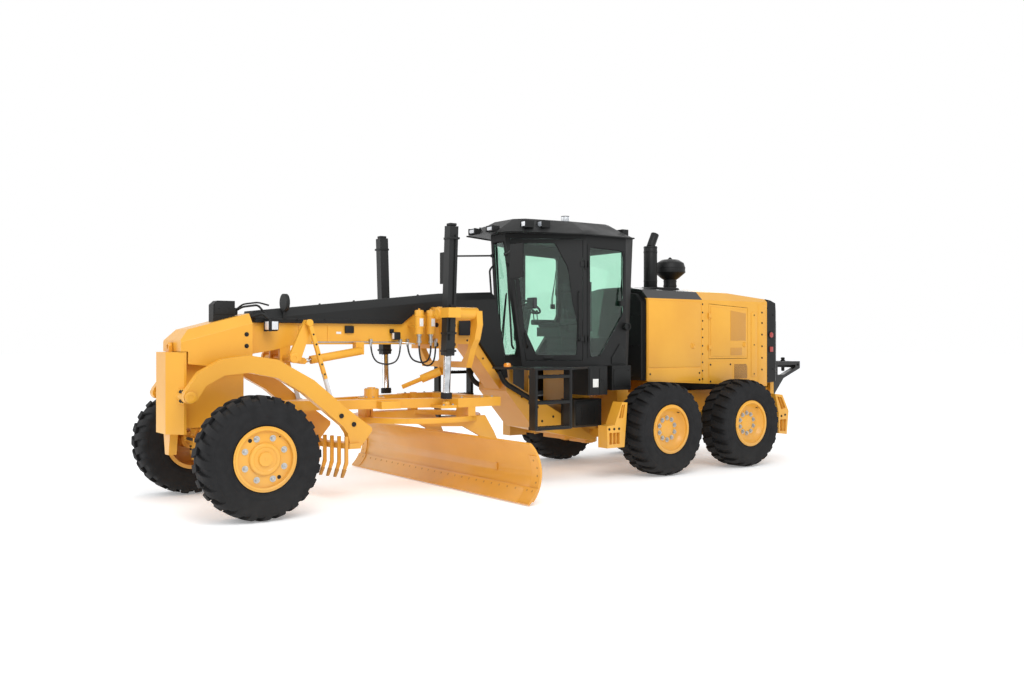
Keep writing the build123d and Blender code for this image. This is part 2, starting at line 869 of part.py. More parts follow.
def cab_body():
    shell = cab_space(0) - cab_space(cab_wall)
    shell -= block((-6000, -3000), (-900, 900), (cab_levels[1], 3300))
    opening = extrude(door_plane.offset(20) * shape_outline(door_outline, door_gap), amount=-90)
    shell -= [opening, mirrored(opening)]
    shell -= extrude(Plane.YZ.offset(-3850) * shape_outline(windscreen), amount=400)
    side = extrude(Plane.XZ.offset(-900) * shape_outline(side_window), amount=1800)
    shell -= side
    shell -= extrude(Plane.YZ.offset(-5400) * shape_outline(rear_window), amount=400)
    for low, high in hinge_levels:
        x, y = door_point(*hinge_place)
        bracket = door_plane * Pos(988, low - 9, 11) * Box(24, 14, 30)
        bracket += upright(x, y, low - 16, high, hinge_radius)
        shell += [bracket, mirrored(bracket)]
    return shell


def door_point(along, out):
    """The place of a point on the left door's plan: along the door and outwards from it."""
    point = door_plane.origin + door_plane.x_dir * along + door_plane.z_dir * out
    return point.X, point.Y


def cab_door():
    """The left door, without its glass."""
    door = extrude(door_plane * shape_outline(door_outline), amount=-cab_wall)
    door -= extrude(door_plane.offset(10) * shape_outline(door_window), amount=-cab_wall - 20)
    x, y = door_point(*hinge_place)
    for low, high in hinge_levels:
        middle = (low + high) / 2
        door += door_plane * Pos(935, middle, 7) * Box(26, 60, 18)
        door += door_plane * Pos(962, middle, 8.5) * Box(46, 60, 15)
        door += upright(x, y, low, high, 16)
        door -= upright(x, y, low - 5, high + 5, hinge_radius + hinge_gap)
    return door


def door_glass():
    face = door_plane.offset(-18) * shape_outline(door_window, -seat_gap)
    return extrude(face, amount=-glass_thickness)


def slanted_sheet(profile_line, depth):
    """A thin sheet behind a slanting wall, whose outer face is drawn by two (x, z) points."""
    (x_low, z_low), (x_high, z_high) = profile_line
    points = [(x_low + depth, z_low), (x_high + depth, z_high)]
    points += [(x_high + depth + glass_thickness, z_high), (x_low + depth + glass_thickness, z_low)]
    return side_plate(points, -600, 600)


def cab_glass():
    front = slanted_sheet((cab_profile[1], cab_profile[0]), -26)
    front &= extrude(Plane.YZ.offset(-3850) * shape_outline(windscreen, -seat_gap), amount=400)
    rear = slanted_sheet((cab_profile[2], cab_profile[3]), 20)
    rear &= extrude(Plane.YZ.offset(-5400) * shape_outline(rear_window, -seat_gap), amount=400)
    face = Plane.XZ.offset(-682) * shape_outline(side_window, -seat_gap)
    side = extrude(face, amount=glass_thickness)
    return front, rear, side, mirrored(side)


# Cab roof, with pockets for its lamps
roof_foot = [(-3300, 330), (-3560, 500), (-4340, 760), (-5180, 735), (-5300, 600)]
roof_crown = [(-3640, 200), (-3740, 320), (-4400, 430), (-4950, 450), (-5080, 380)]
roof_levels = (cab_levels[1] + seat_gap, 3240)
roof_lamps = (                    # stations, distances from the middle, heights
    ((-3390, -3290), (130, 260), (3060, 3130)),
    ((-3740, -3620), (400, 500), (3110, 3195)),
    ((-3970, -3850), (430, 530), (3120, 3205)),
    ((-5220, -5120), (480, 600), (3080, 3175)),
)


def lamp_blocks(grown):
    lamps = []
    for x, y, z in roof_lamps:
        spans = [(low - grown, high + grown) for low, high in (x, y, z)]
        lamps += [block(*spans), mirrored(block(*spans))]
    return lamps


def cab_roof():
    low, high = roof_levels
    faces = []
    for half_plan, level in ((roof_foot, low), (roof_crown, high)):
        plan = half_plan + [(x, -y) for x, y in reversed(half_plan)]
        faces.append(Plane.XY.offset(level) * make_face(Polyline(*plan, close=True)))
    return loft(faces, ruled=True) - lamp_blocks(seat_gap)


def lamps():
    nose = chamfer(block((-500, -400), (225, 360), (1815, 1930)).edges(), 16)
    nose += block((-470, -430), (cover_half + seat_gap, 230), (1915, 1928))
    beacon = upright(-4640, 0, roof_levels[1] + seat_gap, 3370, 55)
    return [nose, mirrored(nose), beacon] + lamp_blocks(0)


# Seat, console and steering column in the cab
def cab_interior():
    floor = cab_levels[0] + cab_wall + seat_gap
    seat = block((-4800, -4350), (-240, 240), (floor + 330, floor + 450))
    seat += block((-4900, -4790), (-230, 230), (floor + 400, floor + 1050))
    seat += block((-4720, -4450), (-160, 160), (floor, floor + 340))
    column = side_plate([(-3900, floor), (-3820, floor), (-3990, 2150), (-4050, 2130)], -45, 45)
    hub = Plane(origin=(-4020, 0, 2160), z_dir=(-0.5, 0, 0.86))
    column += hub * Torus(170, 14)
    column += hub * Box(330, 30, 16) + hub * Cylinder(40, 60)
    return seat, column


# Steps and platforms beside the cab
ladder_posts = (-3307, -3821)
ladder_y = (1000, 1115)
ladder_steps = (1295, 993, 691)
platform_levels = (1372, cab_levels[0] - seat_gap)
platform_plan = [(-3285, 255), (-3285, 1115), (-3845, 1115), (-4290, 880), (-4290, 255)]


def ladder():
    body = flat_plate(platform_plan, *platform_levels)
    for x in ladder_posts:
        body += block((x - 20, x + 20), ladder_y, (ladder_steps[-1] - 15, platform_levels[1]))
    for z in ladder_steps:
        body += block((ladder_posts[1], ladder_posts[0]), (ladder_y[0] - 40, ladder_y[1]), (z - 18, z + 18))
    return body


side_boxes = (                    # stations, distances from the middle, heights
    ((-4632, -4320), (450, 850), (1040, cab_levels[0] - seat_gap)),
    ((-5135, -4808), (520, 740), (1085, cab_levels[0] - seat_gap)),
    ((-4779, -4323), (elbow_half + seat_gap, 570), (620, 975)),
)


def side_box():
    return [block(*spans) for spans in side_boxes]


mirror_places = ((-3330, 700), (-3210, -700))
mirror_levels = (2460, 2870)
mirror_half_width = 120
nose_unit = [                     # the black unit on top of the nose, in side view
    (100, nose_level(100) + seat_gap),
    (100, 2090),
    (55, 2131),
    (-130, 2131),
    (-130, nose_level(-130) + seat_gap),
]


def mirrors():
    found = []
    for x, y in mirror_places:
        side = 1 if y > 0 else -1
        glass = block((x - 14, x + 14), (y - mirror_half_width, y + mirror_half_width), mirror_levels)
        base = block((-3570, -3550), sorted((side * 122, side * 165)), (2780, 2820))
        route = [(-3558, side * 145, 2800), (x - 30, y - side * 130, 2810), (x, y, 2810)]
        found.append(glass + base + bent_tube(route, 11))
    nose = Pos(-620, 215, 2120) * Rot(0, 90, 0) * Cylinder(95, 40)
    nose += block((-640, -600), (cover_half + seat_gap, 222), (1950, 2120))
    return found + [nose, side_plate(nose_unit, -70, 70)]


# Rear frame: two rails, the neck to the articulation pin, the axle housing and the tow bracket
rail_y = (300, 400)
rail_levels = (720, 1020)
rail_span = (-8330, -5220)
neck_front = -5200
axle_tube_radius = 130
case_band = (side_to_mid - 445, side_to_mid - 250)
hitch_band = (220, 300)
hitch_bore_radius = 28
hood_wall = 25
hood_bearers = (-5740, -7660)
hitch_side = [
    (-8300, 900),
    (-8300, 1095),
    (-8470, 1140),
    (-8490, 1400),
    (hitch_station, 1400),
    (hitch_station, 1290),
    (-8760, 1140),
    (-8540, 900),
]


hitch_window = [(-8620, 1195), (-8620, 1345), (-9050, 1345), (-9050, 1305), (-8760, 1195)]


def rear_frame():
    rail = block(rail_span, rail_y, rail_levels)
    low, high = hitch_band
    hitch = side_plate(hitch_side, low, high) - side_plate(hitch_window, low - 5, high + 5)
    frame = rail + mirrored(rail) + hitch + mirrored(hitch)
    levels = (neck_levels[0][0] + slide_gap, neck_levels[1][1] - slide_gap)
    frame += block((-5400, neck_front), (-400, 400), levels)
    for low, high in neck_levels:
        levels = (low + slide_gap, high - slide_gap)
        frame += block((neck_front - 10, pivot_station), (-125, 125), levels)
        frame += upright(pivot_station, 0, *levels, 125)
        frame -= upright(pivot_station, 0, low - 5, high + 5, pin_radius + running_gap)
    frame += cross_bar(-wheelbase, axle_height, 5 - case_band[0], case_band[0] - 5, axle_tube_radius)
    frame += block((-6250, -6000), (-400, 400), (600, 740))
    frame += block((-8360, -8260), (-450, 450), (800, 1098))
    bearer_end = 680 - hood_wall - seat_gap
    for x in hood_bearers:
        frame += block((x - 50, x + 50), (-bearer_end, bearer_end), (940, 1200))
    frame += block((hitch_station, -9080), (-hitch_band[1], hitch_band[1]), (1300, 1400))
    frame -= upright(-9120, 0, 1290, 1410, hitch_bore_radius)
    return frame


guard_band = (side_to_mid - 115, side_to_mid + 55)
guard_arm_band = (case_band[1] - 60, case_band[1] - 30)
# Corners by their distance in front of the nearer tandem wheel
front_guard = [(954.5, 400), (954.5, 670), (832.5, 679), (708.5, 958), (621.5, 950), (671.5, 400)]
rear_guard = [(-679.5, 969), (-836.5, 951), (-975.5, 716), (-935.5, 385), (-757.5, 408), (-755.5, 700)]
front_guard_pockets = (
    [(761.5, 760), (709.5, 925), (659.5, 925), (693.5, 760)],
    [(921.5, 445), (921.5, 585), (751.5, 585), (751.5, 445)],
)
rear_guard_pockets = (
    [(-725.5, 930), (-820.5, 918), (-910.5, 765), (-815.5, 745)],
    [(-783.5, 440), (-783.5, 600), (-921.5, 600), (-907.5, 430)],
)
pocket_depth = 60
front_guard_web = ((639.5, 669.5), (430, 560))
rear_guard_web = ((-780.5, -750.5), (430, 590))
front_guard_arm = [(206.5, 480), (661.5, 420), (661.5, 560), (206.5, 720)]
rear_guard_arm = [(-205.5, 480), (-760.5, 420), (-760.5, 600), (-205.5, 720)]


def tandem_case():
    """The left tandem case, with a stub for each wheel."""
    low, high = case_band
    case = block((tandem_rear, tandem_front), case_band, (axle_height - 165, axle_height + 165))
    case += cross_bar(-wheelbase, axle_height, low - 5 + seat_gap, high, 235)
    for station in (tandem_front, tandem_rear):
        case += cross_bar(station, axle_height, low, high, 195)
        case += cross_bar(station, axle_height, high - 5, stub_end, stub_radius)
    front_seat = (tandem_front + 161.5, tandem_front + front_guard_arm[0][0] - seat_gap)
    rear_seat = (tandem_rear + rear_guard_arm[0][0] + seat_gap, tandem_rear - 155.5)
    for span in (front_seat, rear_seat):
        case += block(span, (high - 95, high - 5), (500, 690))
    return case


def tandem_guard():
    floor, face = guard_band[1] - pocket_depth, guard_band[1] + 5
    guards = []
    for plan, arm, pockets, web, station in (
        (front_guard, front_guard_arm, front_guard_pockets, front_guard_web, tandem_front),
        (rear_guard, rear_guard_arm, rear_guard_pockets, rear_guard_web, tandem_rear),
    ):
        guard = side_plate(plan, *guard_band) + side_plate(arm, *guard_arm_band)
        guard += block(web[0], (guard_arm_band[0], guard_band[0] + 5), web[1])
        guard -= [side_plate(pocket, floor, face) for pocket in pockets]
        guards.append(Pos(station, 0, 0) * guard)
    return guards


# Engine, plain, under a hood of sheet metal
hood_span = (-7900, -5487)
hood_half_section = [
    (680, 1000),
    (680, 2285),
    (560, 2400),
    (300, 2440),
]
hood_side = [(-5487, 1181), (-7900, 1055), (-7900, 2600), (-5487, 2600)]
hood_fall = ((-6750, 2440), (-8000, 2320))    # where the top starts to fall, and its line
front_face_station = -5430
engine_door = [(-6665, 1470), (-7470, 1470), (-7470, 2190), (-6665, 2230)]
engine_hinge_radius = 6
engine_hinge_place = (-6655, 692)
engine_hinge_levels = ((1600, 1660), (2040, 2100))


def hood_prism(inset, span):
    section = hood_half_section + [(-y, z) for y, z in reversed(hood_half_section)]
    section = [(y * (680 - inset) / 680, z - inset if z > 1000 else z) for y, z in section]
    (x_high, z_high), (x_low, z_low) = hood_fall
    top = [(x_low, 900), (-5300, 900), (-5300, 2600), (x_high, z_high - inset), (x_low, z_low - inset)]
    return cross_plate(section, *span) & side_plate(top, -800, 800)


def hood():
    low, high = hood_span
    shell = hood_prism(0, hood_span) - hood_prism(hood_wall, (low - 5, high + 5))
    shell &= side_plate(hood_side, -700, 700)
    shell -= extrude(Plane.XZ.offset(-750) * shape_outline(engine_door, door_gap), amount=1500)
    x, y = engine_hinge_place
    for z_low, z_high in engine_hinge_levels:
        bracket = block((x - 8, x + 12), (y - 18, y + 8), (z_low - 14, z_low - 2))
        bracket += upright(x, y, z_low - 14, z_high, engine_hinge_radius)
        shell += [bracket, mirrored(bracket)]
    return shell


def engine_cover_door():
    """The left engine door, hinged on its front edge."""
    x, y = engine_hinge_place
    door = side_plate(engine_door, 680 - hood_wall, 680)
    for low, high in engine_hinge_levels:
        door += block((x - 50, x - 5), (678, y + 8), (low, high))
        door += upright(x, y, low, high, 12)
        door -= upright(x, y, low - 5, high + 5, engine_hinge_radius + hinge_gap)
    return door


def hood_front():
    inner = hood_wall + seat_gap
    front = hood_prism(60, (hood_span[1] - 5, front_face_station))
    front += hood_prism(inner, (hood_span[1] - 45, hood_span[1]))
    return front & block((-6000, -5000), (-800, 800), (1190, 2600))


def engine():
    levels = (rail_levels[1] + seat_gap, 1850)
    return block((-7600, -5800), (-330, 330), levels)


grille_plan = [(-7900, 655), (-8120, 655), (-8450, 400), (-8450, -400), (-8120, -655), (-7900, -655)]
grille_side = [(-7900, 1100), (-7900, 2330), (-8010, 2315), (-8440, 2160), (-8500, 1690), (-8380, 1130)]
grille_wall = 30
grille_slots = 8


def grille_space(inset):
    plan = Plane.XY.offset(1000) * shape_outline(grille_plan, -inset)
    profile = Plane.XZ.offset(-900) * shape_outline(grille_side, -inset)
    return extrude(plan, amount=1500) & extrude(profile, amount=1800)


def rear_grille():
    shell = grille_space(0) - grille_space(grille_wall)
    shell -= block((-7935, -7895), (-620, 620), (1140, 2295))
    for number in range(grille_slots):
        z = 1250 + number * 105
        shell -= block((-8700, -8350), (-360, 360), (z, z + 45))
    return Pos(-seat_gap, 0, 0) * shell


def exhaust_stack():
    base = hood_half_section[-1][1] + seat_gap
    stack = Part() + upright(-6200, 0, base, 3060, 95)
    stack += bar((-6200, 0, 3050), (-6290, 0, 3240), 58)
    return stack - bar((-6230, 0, 3113), (-6300, 0, 3261), 50)


def air_cleaner():
    base = hood_half_section[-1][1] + seat_gap
    half = [(0, base), (130, base), (130, base + 12), (92, base + 18), (92, 2600), (130, 2625),
            (217, 2700), (217, 2775), (196, 2842), (120, 2888), (0, 2903)]
    face = Plane.XZ * make_face(Polyline(*half, close=True))
    return Pos(-6590, 0, 0) * revolve(face, axis=Axis.Z)


# Pieces at rest
tyre_shape = tyre()
front_rim_shape = front_rim()
rear_rim_shape = rear_rim()
wheels = (                        # name, station, rim
    ("front", 0, front_rim_shape),
    ("middle", tandem_front, rear_rim_shape),
    ("rear", tandem_rear, rear_rim_shape),
)
for name, station, rim_shape in wheels:
    place = Pos(station, side_to_mid, axle_height)
    save(f"{name}_left_tyre", place * tyre_shape)
    save(f"{name}_left_rim", place * rim_shape)
    save(f"{name}_right_tyre", mirrored(place * tyre_shape))
    save(f"{name}_right_rim", mirrored(place * rim_shape))

sided_pieces = (                  # name after the side, left piece
    ("lean_bracket", lean_bracket()),
    ("knuckle", knuckle()),
    ("lift_rod", lift_rod()),
    ("cab_door", cab_door()),
    ("door_glass", door_glass()),
    ("engine_door", engine_cover_door()),
)
for name, piece in sided_pieces:
    save(f"left_{name}", piece)
    save(f"right_{name}", mirrored(piece))

paired_pieces = (                 # two or more like pieces on one body
    ("ladders", [ladder()]),
    ("side_boxes", side_box()),
    ("tandem_cases", [tandem_case()]),
    ("tandem_guards", list(tandem_guard())),
    ("scarifier_links", [scarifier_link()]),
)
for name, pieces in paired_pieces:
    save(name, *pieces, *[mirrored(piece) for piece in pieces])

save("front_frame", front_frame())
save("frame_cover", frame_cover())
save("nose_box", nose_box())
save("push_block", push_block())
save("front_axle", front_axle())
save("lean_bar", lean_bar())
save("tie_rod", tie_rod())
save("saddle", saddle())
barrels = [lift_sleeve(), mirrored(lift_sleeve()), centre_shift_barrel(), scarifier_barrel()]
save("cylinder_barrels", *barrels)
save("drawbar", drawbar())
save("circle", circle())
save("blade_carriage", blade_carriage())
save("moldboard", moldboard())
save("cutting_edge", cutting_edge())
save("scarifier_frame", scarifier_frame())
save("scarifier_teeth", *scarifier_teeth())
save("bell_crank", bell_crank())
save("scarifier_rod", scarifier_rod())
save("cab_body", cab_body())
save("cab_glass", *cab_glass())
save("cab_roof", cab_roof())
save("lamps", *lamps())
save("cab_interior", *cab_interior())
save("mirrors", *mirrors())
save("rear_frame", rear_frame())
save("hood", hood())
save("hood_front", hood_front())
save("engine", engine())
save("rear_grille", rear_grille())
save("exhaust_stack", exhaust_stack())
save("air_cleaner", air_cleaner())
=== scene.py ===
"""Looks of the motor grader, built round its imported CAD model. Lengths are in metres. Stations
are measured from the front axle, plus forwards, as they are in the part's source."""

from itertools import product
from math import cos, pi, radians, sin

import bmesh
import bpy
from mathutils import Matrix, Vector


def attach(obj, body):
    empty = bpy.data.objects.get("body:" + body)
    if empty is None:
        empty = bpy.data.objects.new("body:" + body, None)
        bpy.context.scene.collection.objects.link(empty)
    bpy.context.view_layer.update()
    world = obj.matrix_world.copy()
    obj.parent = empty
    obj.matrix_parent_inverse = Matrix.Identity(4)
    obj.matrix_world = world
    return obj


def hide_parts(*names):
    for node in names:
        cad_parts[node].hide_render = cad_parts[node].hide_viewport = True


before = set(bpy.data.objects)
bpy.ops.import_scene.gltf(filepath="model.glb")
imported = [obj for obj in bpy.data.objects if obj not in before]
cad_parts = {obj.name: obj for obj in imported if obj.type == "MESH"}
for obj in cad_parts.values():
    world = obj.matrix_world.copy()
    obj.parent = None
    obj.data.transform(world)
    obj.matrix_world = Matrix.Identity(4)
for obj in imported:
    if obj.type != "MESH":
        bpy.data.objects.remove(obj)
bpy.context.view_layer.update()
front_axle = 4.275
axle_height = 0.596
axle_stations = {"front": 0.0, "middle": -5.3615, "rear": -6.8845}
sides = (("left", 1), ("right", -1))


def at(station, y, z):
    """A point given by its station behind or ahead of the front axle."""
    return Vector((station + front_axle, y, z))


# Studio: a pale floor under an even white sky, with one broad lamp over the machine's left shoulder
# and weaker ones ahead and behind. The camera stands ahead of the left front wheel at eye height.
scene = bpy.context.scene
scene.view_settings.view_transform = "Standard"
camera_data = bpy.data.cameras.new("camera")
camera_data.sensor_width = 36
camera_data.lens = 33.97
camera_data.clip_end = 200
camera = bpy.data.objects.new("camera", camera_data)
camera.location = at(3.465, 9.969, 1.699)
camera.rotation_euler = (radians(90.04), 0, radians(-215.96))
scene.collection.objects.link(camera)
scene.camera = camera

sky = bpy.data.worlds.new("sky")
scene.world = sky
sky.use_nodes = True
sky_tree = sky.node_tree
sky_nodes = sky_tree.nodes
sky_light = sky_nodes["Background"]
sky_light.inputs["Color"].default_value = (0.96, 0.98, 1.0, 1)
sky_light.inputs["Strength"].default_value = 0.8
sky_seen = sky_nodes.new("ShaderNodeBackground")
sky_seen.inputs["Color"].default_value = (1, 1, 1, 1)


def feed(tree, value, socket):
    """Links a socket to another node's output, or sets it to a number or a colour."""
    if isinstance(value, bpy.types.NodeSocket):
        tree.links.new(value, socket)
    else:
        socket.default_value = value


def reckoned(tree, operation, *values):
    """A sum on the outputs of other nodes and on numbers."""
    step = tree.nodes.new("ShaderNodeMath")
    step.operation = operation
    for value, socket in zip(values, step.inputs):
        feed(tree, value, socket)
    return step.outputs[0]


ray = sky_nodes.new("ShaderNodeLightPath")
seen = ray.outputs["Is Camera Ray"]
for kind in ("Is Glossy Ray", "Is Transmission Ray"):
    seen = reckoned(sky_tree, "MAXIMUM", seen, ray.outputs[kind])
sky_mix = sky_nodes.new("ShaderNodeMixShader")
for value, socket in zip((seen, sky_light.outputs[0], sky_seen.outputs[0]), sky_mix.inputs):
    feed(sky_tree, value, socket)
feed(sky_tree, sky_mix.outputs[0], sky_nodes["World Output"].inputs["Surface"])

for name, place, target, size, power in (
    ("lamp_left", (4.5, 9.0, 9.5), (0, 0, 1), 7.0, 750),
    ("lamp_front", (12.0, -3.0, 6.5), (2, 0, 1), 6.0, 210),
    ("lamp_back", (-9.0, -7.0, 7.0), (-2, 0, 1), 6.0, 210),
):
    lamp_data = bpy.data.lights.new(name, "AREA")
    lamp_data.size = size
    lamp_data.energy = power
    lamp = bpy.data.objects.new(name, lamp_data)
    lamp.location = place
    lamp.rotation_euler = (Vector(target) - Vector(place)).to_track_quat("-Z", "Y").to_euler()
    scene.collection.objects.link(lamp)

floor_bm = bmesh.new()
bmesh.ops.create_circle(floor_bm, cap_ends=True, segments=96, radius=150)
floor_mesh = bpy.data.meshes.new("floor")
floor_bm.to_mesh(floor_mesh)
floor_bm.free()
floor = bpy.data.objects.new("floor", floor_mesh)
scene.collection.objects.link(floor)
floor_paint = bpy.data.materials.new("floor_paint")
floor_paint.use_nodes = True
floor_shader = floor_paint.node_tree.nodes["Principled BSDF"]
floor_shader.inputs["Base Color"].default_value = (0.97, 0.97, 0.97, 1)
floor_shader.inputs["Emission Color"].default_value = (1, 1, 1, 1)
floor_shader.inputs["Emission Strength"].default_value = 0.24
floor_shader.inputs["Roughness"].default_value = 0.9
floor_mesh.materials.append(floor_paint)


# Painted steel plate of the main frame, nose, push block, saddle, blade gear and hood. Sprayed
# yellow enamel with a faint ripple, tone that drifts over a metre, and a little dust low down.
def colour_of(code):
    """Linear colour from a paint chart's six-figure code."""
    parts = [int(code[place:place + 2], 16) / 255 for place in (0, 2, 4)]
    return (*[c / 12.92 if c <= 0.04045 else ((c + 0.055) / 1.055) ** 2.4 for c in parts], 1)


def finish_of(name, roughness, metallic=0.0, coat=0.0, sheen=0.5):
    """A new material with its tree, shader and the piece's own coordinates."""
    material = bpy.data.materials.new(name)
    material.use_nodes = True
    tree = material.node_tree
    shader = tree.nodes["Principled BSDF"]
    for setting, value in (
        ("Roughness", roughness), ("Metallic", metallic), ("Coat Weight", coat),
        ("Specular IOR Level", sheen), ("Coat Roughness", 0.12),
    ):
        shader.inputs[setting].default_value = value
    return material, tree, shader, tree.nodes.new("ShaderNodeTexCoord")


def tint(tree, shader, colour):
    """Gives the surface its colour."""
    tree.links.new(colour, shader.inputs["Base Color"])


def noise_on(tree, coords, scale, detail=4.0):
    """Cloudy noise, finer as the scale rises."""
    noise = tree.nodes.new("ShaderNodeTexNoise")
    noise.inputs["Scale"].default_value = scale
    noise.inputs["Detail"].default_value = detail
    tree.links.new(coords.outputs["Object"], noise.inputs["Vector"])
    return noise.outputs["Fac"]


def shades(tree, factor, dark, light, low=0.3, high=0.7):
    """Two shades of a colour, mixed by a factor between two of its values."""
    ramp = tree.nodes.new("ShaderNodeValToRGB")
    for element, place, code in zip(ramp.color_ramp.elements, (low, high), (dark, light)):
        element.position = place
        element.color = colour_of(code)
    tree.links.new(factor, ramp.inputs["Fac"])
    return ramp.outputs["Color"]


def roughen(tree, shader, factor, strength, distance=0.001):
    """Raises a fine relief on the surface by a factor."""
    bump = tree.nodes.new("ShaderNodeBump")
    bump.inputs["Strength"].default_value = strength
    bump.inputs["Distance"].default_value = distance
    tree.links.new(factor, bump.inputs["Height"])
    tree.links.new(bump.outputs["Normal"], shader.inputs["Normal"])


def rough_between(tree, shader, factor, low, high):
    """Lets the roughness run between two values with a factor."""
    spread = tree.nodes.new("ShaderNodeMapRange")
    spread.inputs["To Min"].default_value = low
    spread.inputs["To Max"].default_value = high
    tree.links.new(factor, spread.inputs["Value"])
    tree.links.new(spread.outputs["Result"], shader.inputs["Roughness"])


def place_on(tree, coords, axis):
    """How far along an axis each point of the piece lies."""
    split = tree.nodes.new("ShaderNodeSeparateXYZ")
    tree.links.new(coords.outputs["Object"], split.inputs["Vector"])
    return split.outputs[axis]


def mixed(tree, factor, first, second):
    """The first colour where the factor is 0, and the second where it is 1."""
    blend = tree.nodes.new("ShaderNodeMix")
    blend.data_type = "RGBA"
    for value, name in ((factor, "Factor"), (first, "A"), (second, "B")):
        feed(tree, value, blend.inputs[name])
    return blend.outputs["Result"]


def low_dust(tree, coords, colour, dust, top):
    """Mixes dust into a colour from the ground up to a height, in patches."""
    fall = tree.nodes.new("ShaderNodeMapRange")
    for setting, value in (
        ("Value", place_on(tree, coords, "Z")), ("From Min", 0.0), ("From Max", top),
        ("To Min", 0.55), ("To Max", 0.0),
    ):
        feed(tree, value, fall.inputs[setting])
    patches = reckoned(tree, "MULTIPLY", fall.outputs["Result"], noise_on(tree, coords, 7.0))
    return mixed(tree, patches, colour, colour_of(dust))


def enamel(name, pair, roughness, coat, sheen):
    """Sprayed paint in two close shades of one colour."""
    material, tree, shader, coords = finish_of(name, roughness, 0.0, coat, sheen)
    colour = shades(tree, noise_on(tree, coords, 1.3), *pair, 0.35, 0.65)
    dusty = low_dust(tree, coords, colour, "b9a584", 0.9)
    tint(tree, shader, dusty)
    rough_between(tree, shader, noise_on(tree, coords, 9.0), roughness - 0.06, roughness + 0.1)
    roughen(tree, shader, noise_on(tree, coords, 160.0, 1.0), 0.06)
    return material


yellow_pair = ("df9f30", "e7a936")
black_pair = ("151616", "191a1a")
yellow_enamel = enamel("yellow_enamel", yellow_pair, 0.36, 0.2, 0.4)
black_enamel = enamel("black_enamel", black_pair, 0.48, 0.0, 0.28)


def soften(node, material, edge=0.005):
    """Gives a CAD node its finish, and eases its sharp edges as folded and ground plate has them."""
    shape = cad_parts[node]
    shape.data.materials.clear()
    shape.data.materials.append(material)
    weld = shape.modifiers.new("weld", "WELD")
    weld.merge_threshold = 0.0002
    flat = shape.modifiers.new("flat", "DECIMATE")
    flat.decimate_type = "DISSOLVE"
    flat.angle_limit = radians(1)
    bevel = shape.modifiers.new("bevel", "BEVEL")
    bevel.width = edge
    bevel.segments = 2
    bevel.limit_method = "ANGLE"
    bevel.angle_limit = radians(30)
    bevel.use_clamp_overlap = True
    bevel.harden_normals = True
    return shape


for node in (
    "front_frame", "nose_box", "push_block", "saddle", "drawbar", "circle", "blade_carriage",
    "scarifier_frame", "bell_crank", "front_axle", "left_lean_bracket", "right_lean_bracket",
    "left_knuckle", "right_knuckle", "tandem_cases", "left_engine_door", "right_engine_door",
):
    soften(node, yellow_enamel)
for node in (
    "frame_cover", "cab_body", "left_cab_door", "right_cab_door", "cab_roof", "hood_front",
    "rear_grille", "exhaust_stack", "air_cleaner", "ladders", "side_boxes", "lean_bar", "tie_rod",
):
    soften(node, black_enamel)
soften("tandem_guards", yellow_enamel, 0.003)


# Cylinder barrels: the two lift cylinders' square sleeves are black, and the scarifier's and the
# drawbar's cylinders are yellow tube. They are one CAD node, so the paint changes with the place.
barrel_paint, tree, shader, coords = finish_of("barrel_paint", 0.4, sheen=0.35)
sleeves_beyond = 0.57
outboard = reckoned(tree, "ABSOLUTE", place_on(tree, coords, "Y"))
on_sleeves = reckoned(tree, "GREATER_THAN", outboard, sleeves_beyond)
tone = noise_on(tree, coords, 3.0)
two_paints = mixed(tree, on_sleeves, shades(tree, tone, *yellow_pair), shades(tree, tone, *black_pair))
tint(tree, shader, two_paints)
roughen(tree, shader, noise_on(tree, coords, 150.0, 1.0), 0.05)
soften("cylinder_barrels", barrel_paint, 0.004)


# Cylinder rods: hard chrome, polished along the length, with a faint film of oil.
hard_chrome, tree, shader, coords = finish_of("hard_chrome", 0.1, metallic=1.0)
film = noise_on(tree, coords, 14.0)
tint(tree, shader, shades(tree, film, "b9bcc0", "e2e4e6"))
rough_between(tree, shader, film, 0.06, 0.2)
for node in ("left_lift_rod", "right_lift_rod", "scarifier_rod"):
    soften(node, hard_chrome, 0.003)


# Blade: a rolled sheet of yellow steel with a scuffed face, and a bolted cutting edge below it.
worn_yellow, tree, shader, coords = finish_of("worn_yellow", 0.34, coat=0.2)
tone = shades(tree, noise_on(tree, coords, 1.6), "d89631", "e2a036", 0.35, 0.65)
dusty = low_dust(tree, coords, tone, "b98a4e", 0.45)
tint(tree, shader, dusty)
rough_between(tree, shader, noise_on(tree, coords, 5.0), 0.26, 0.44)
roughen(tree, shader, noise_on(tree, coords, 60.0, 2.0), 0.05)
for node in ("moldboard", "cutting_edge", "scarifier_teeth"):
    soften(node, worn_yellow, 0.003)


# Cab glazing: green-tinted safety glass, 6 mm, in the doors, windscreen and windows.
tinted_glass, tree, shader, coords = finish_of("tinted_glass", 0.02)
shader.inputs["Transmission Weight"].default_value = 1.0
shader.inputs["IOR"].default_value = 1.45
haze = noise_on(tree, coords, 2.0)
tint(tree, shader, shades(tree, haze, "d0f3e2", "daf8ea"))
for node in ("cab_glass", "left_door_glass", "right_door_glass"):
    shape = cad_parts[node]
    shape.data.materials.clear()
    shape.data.materials.append(tinted_glass)


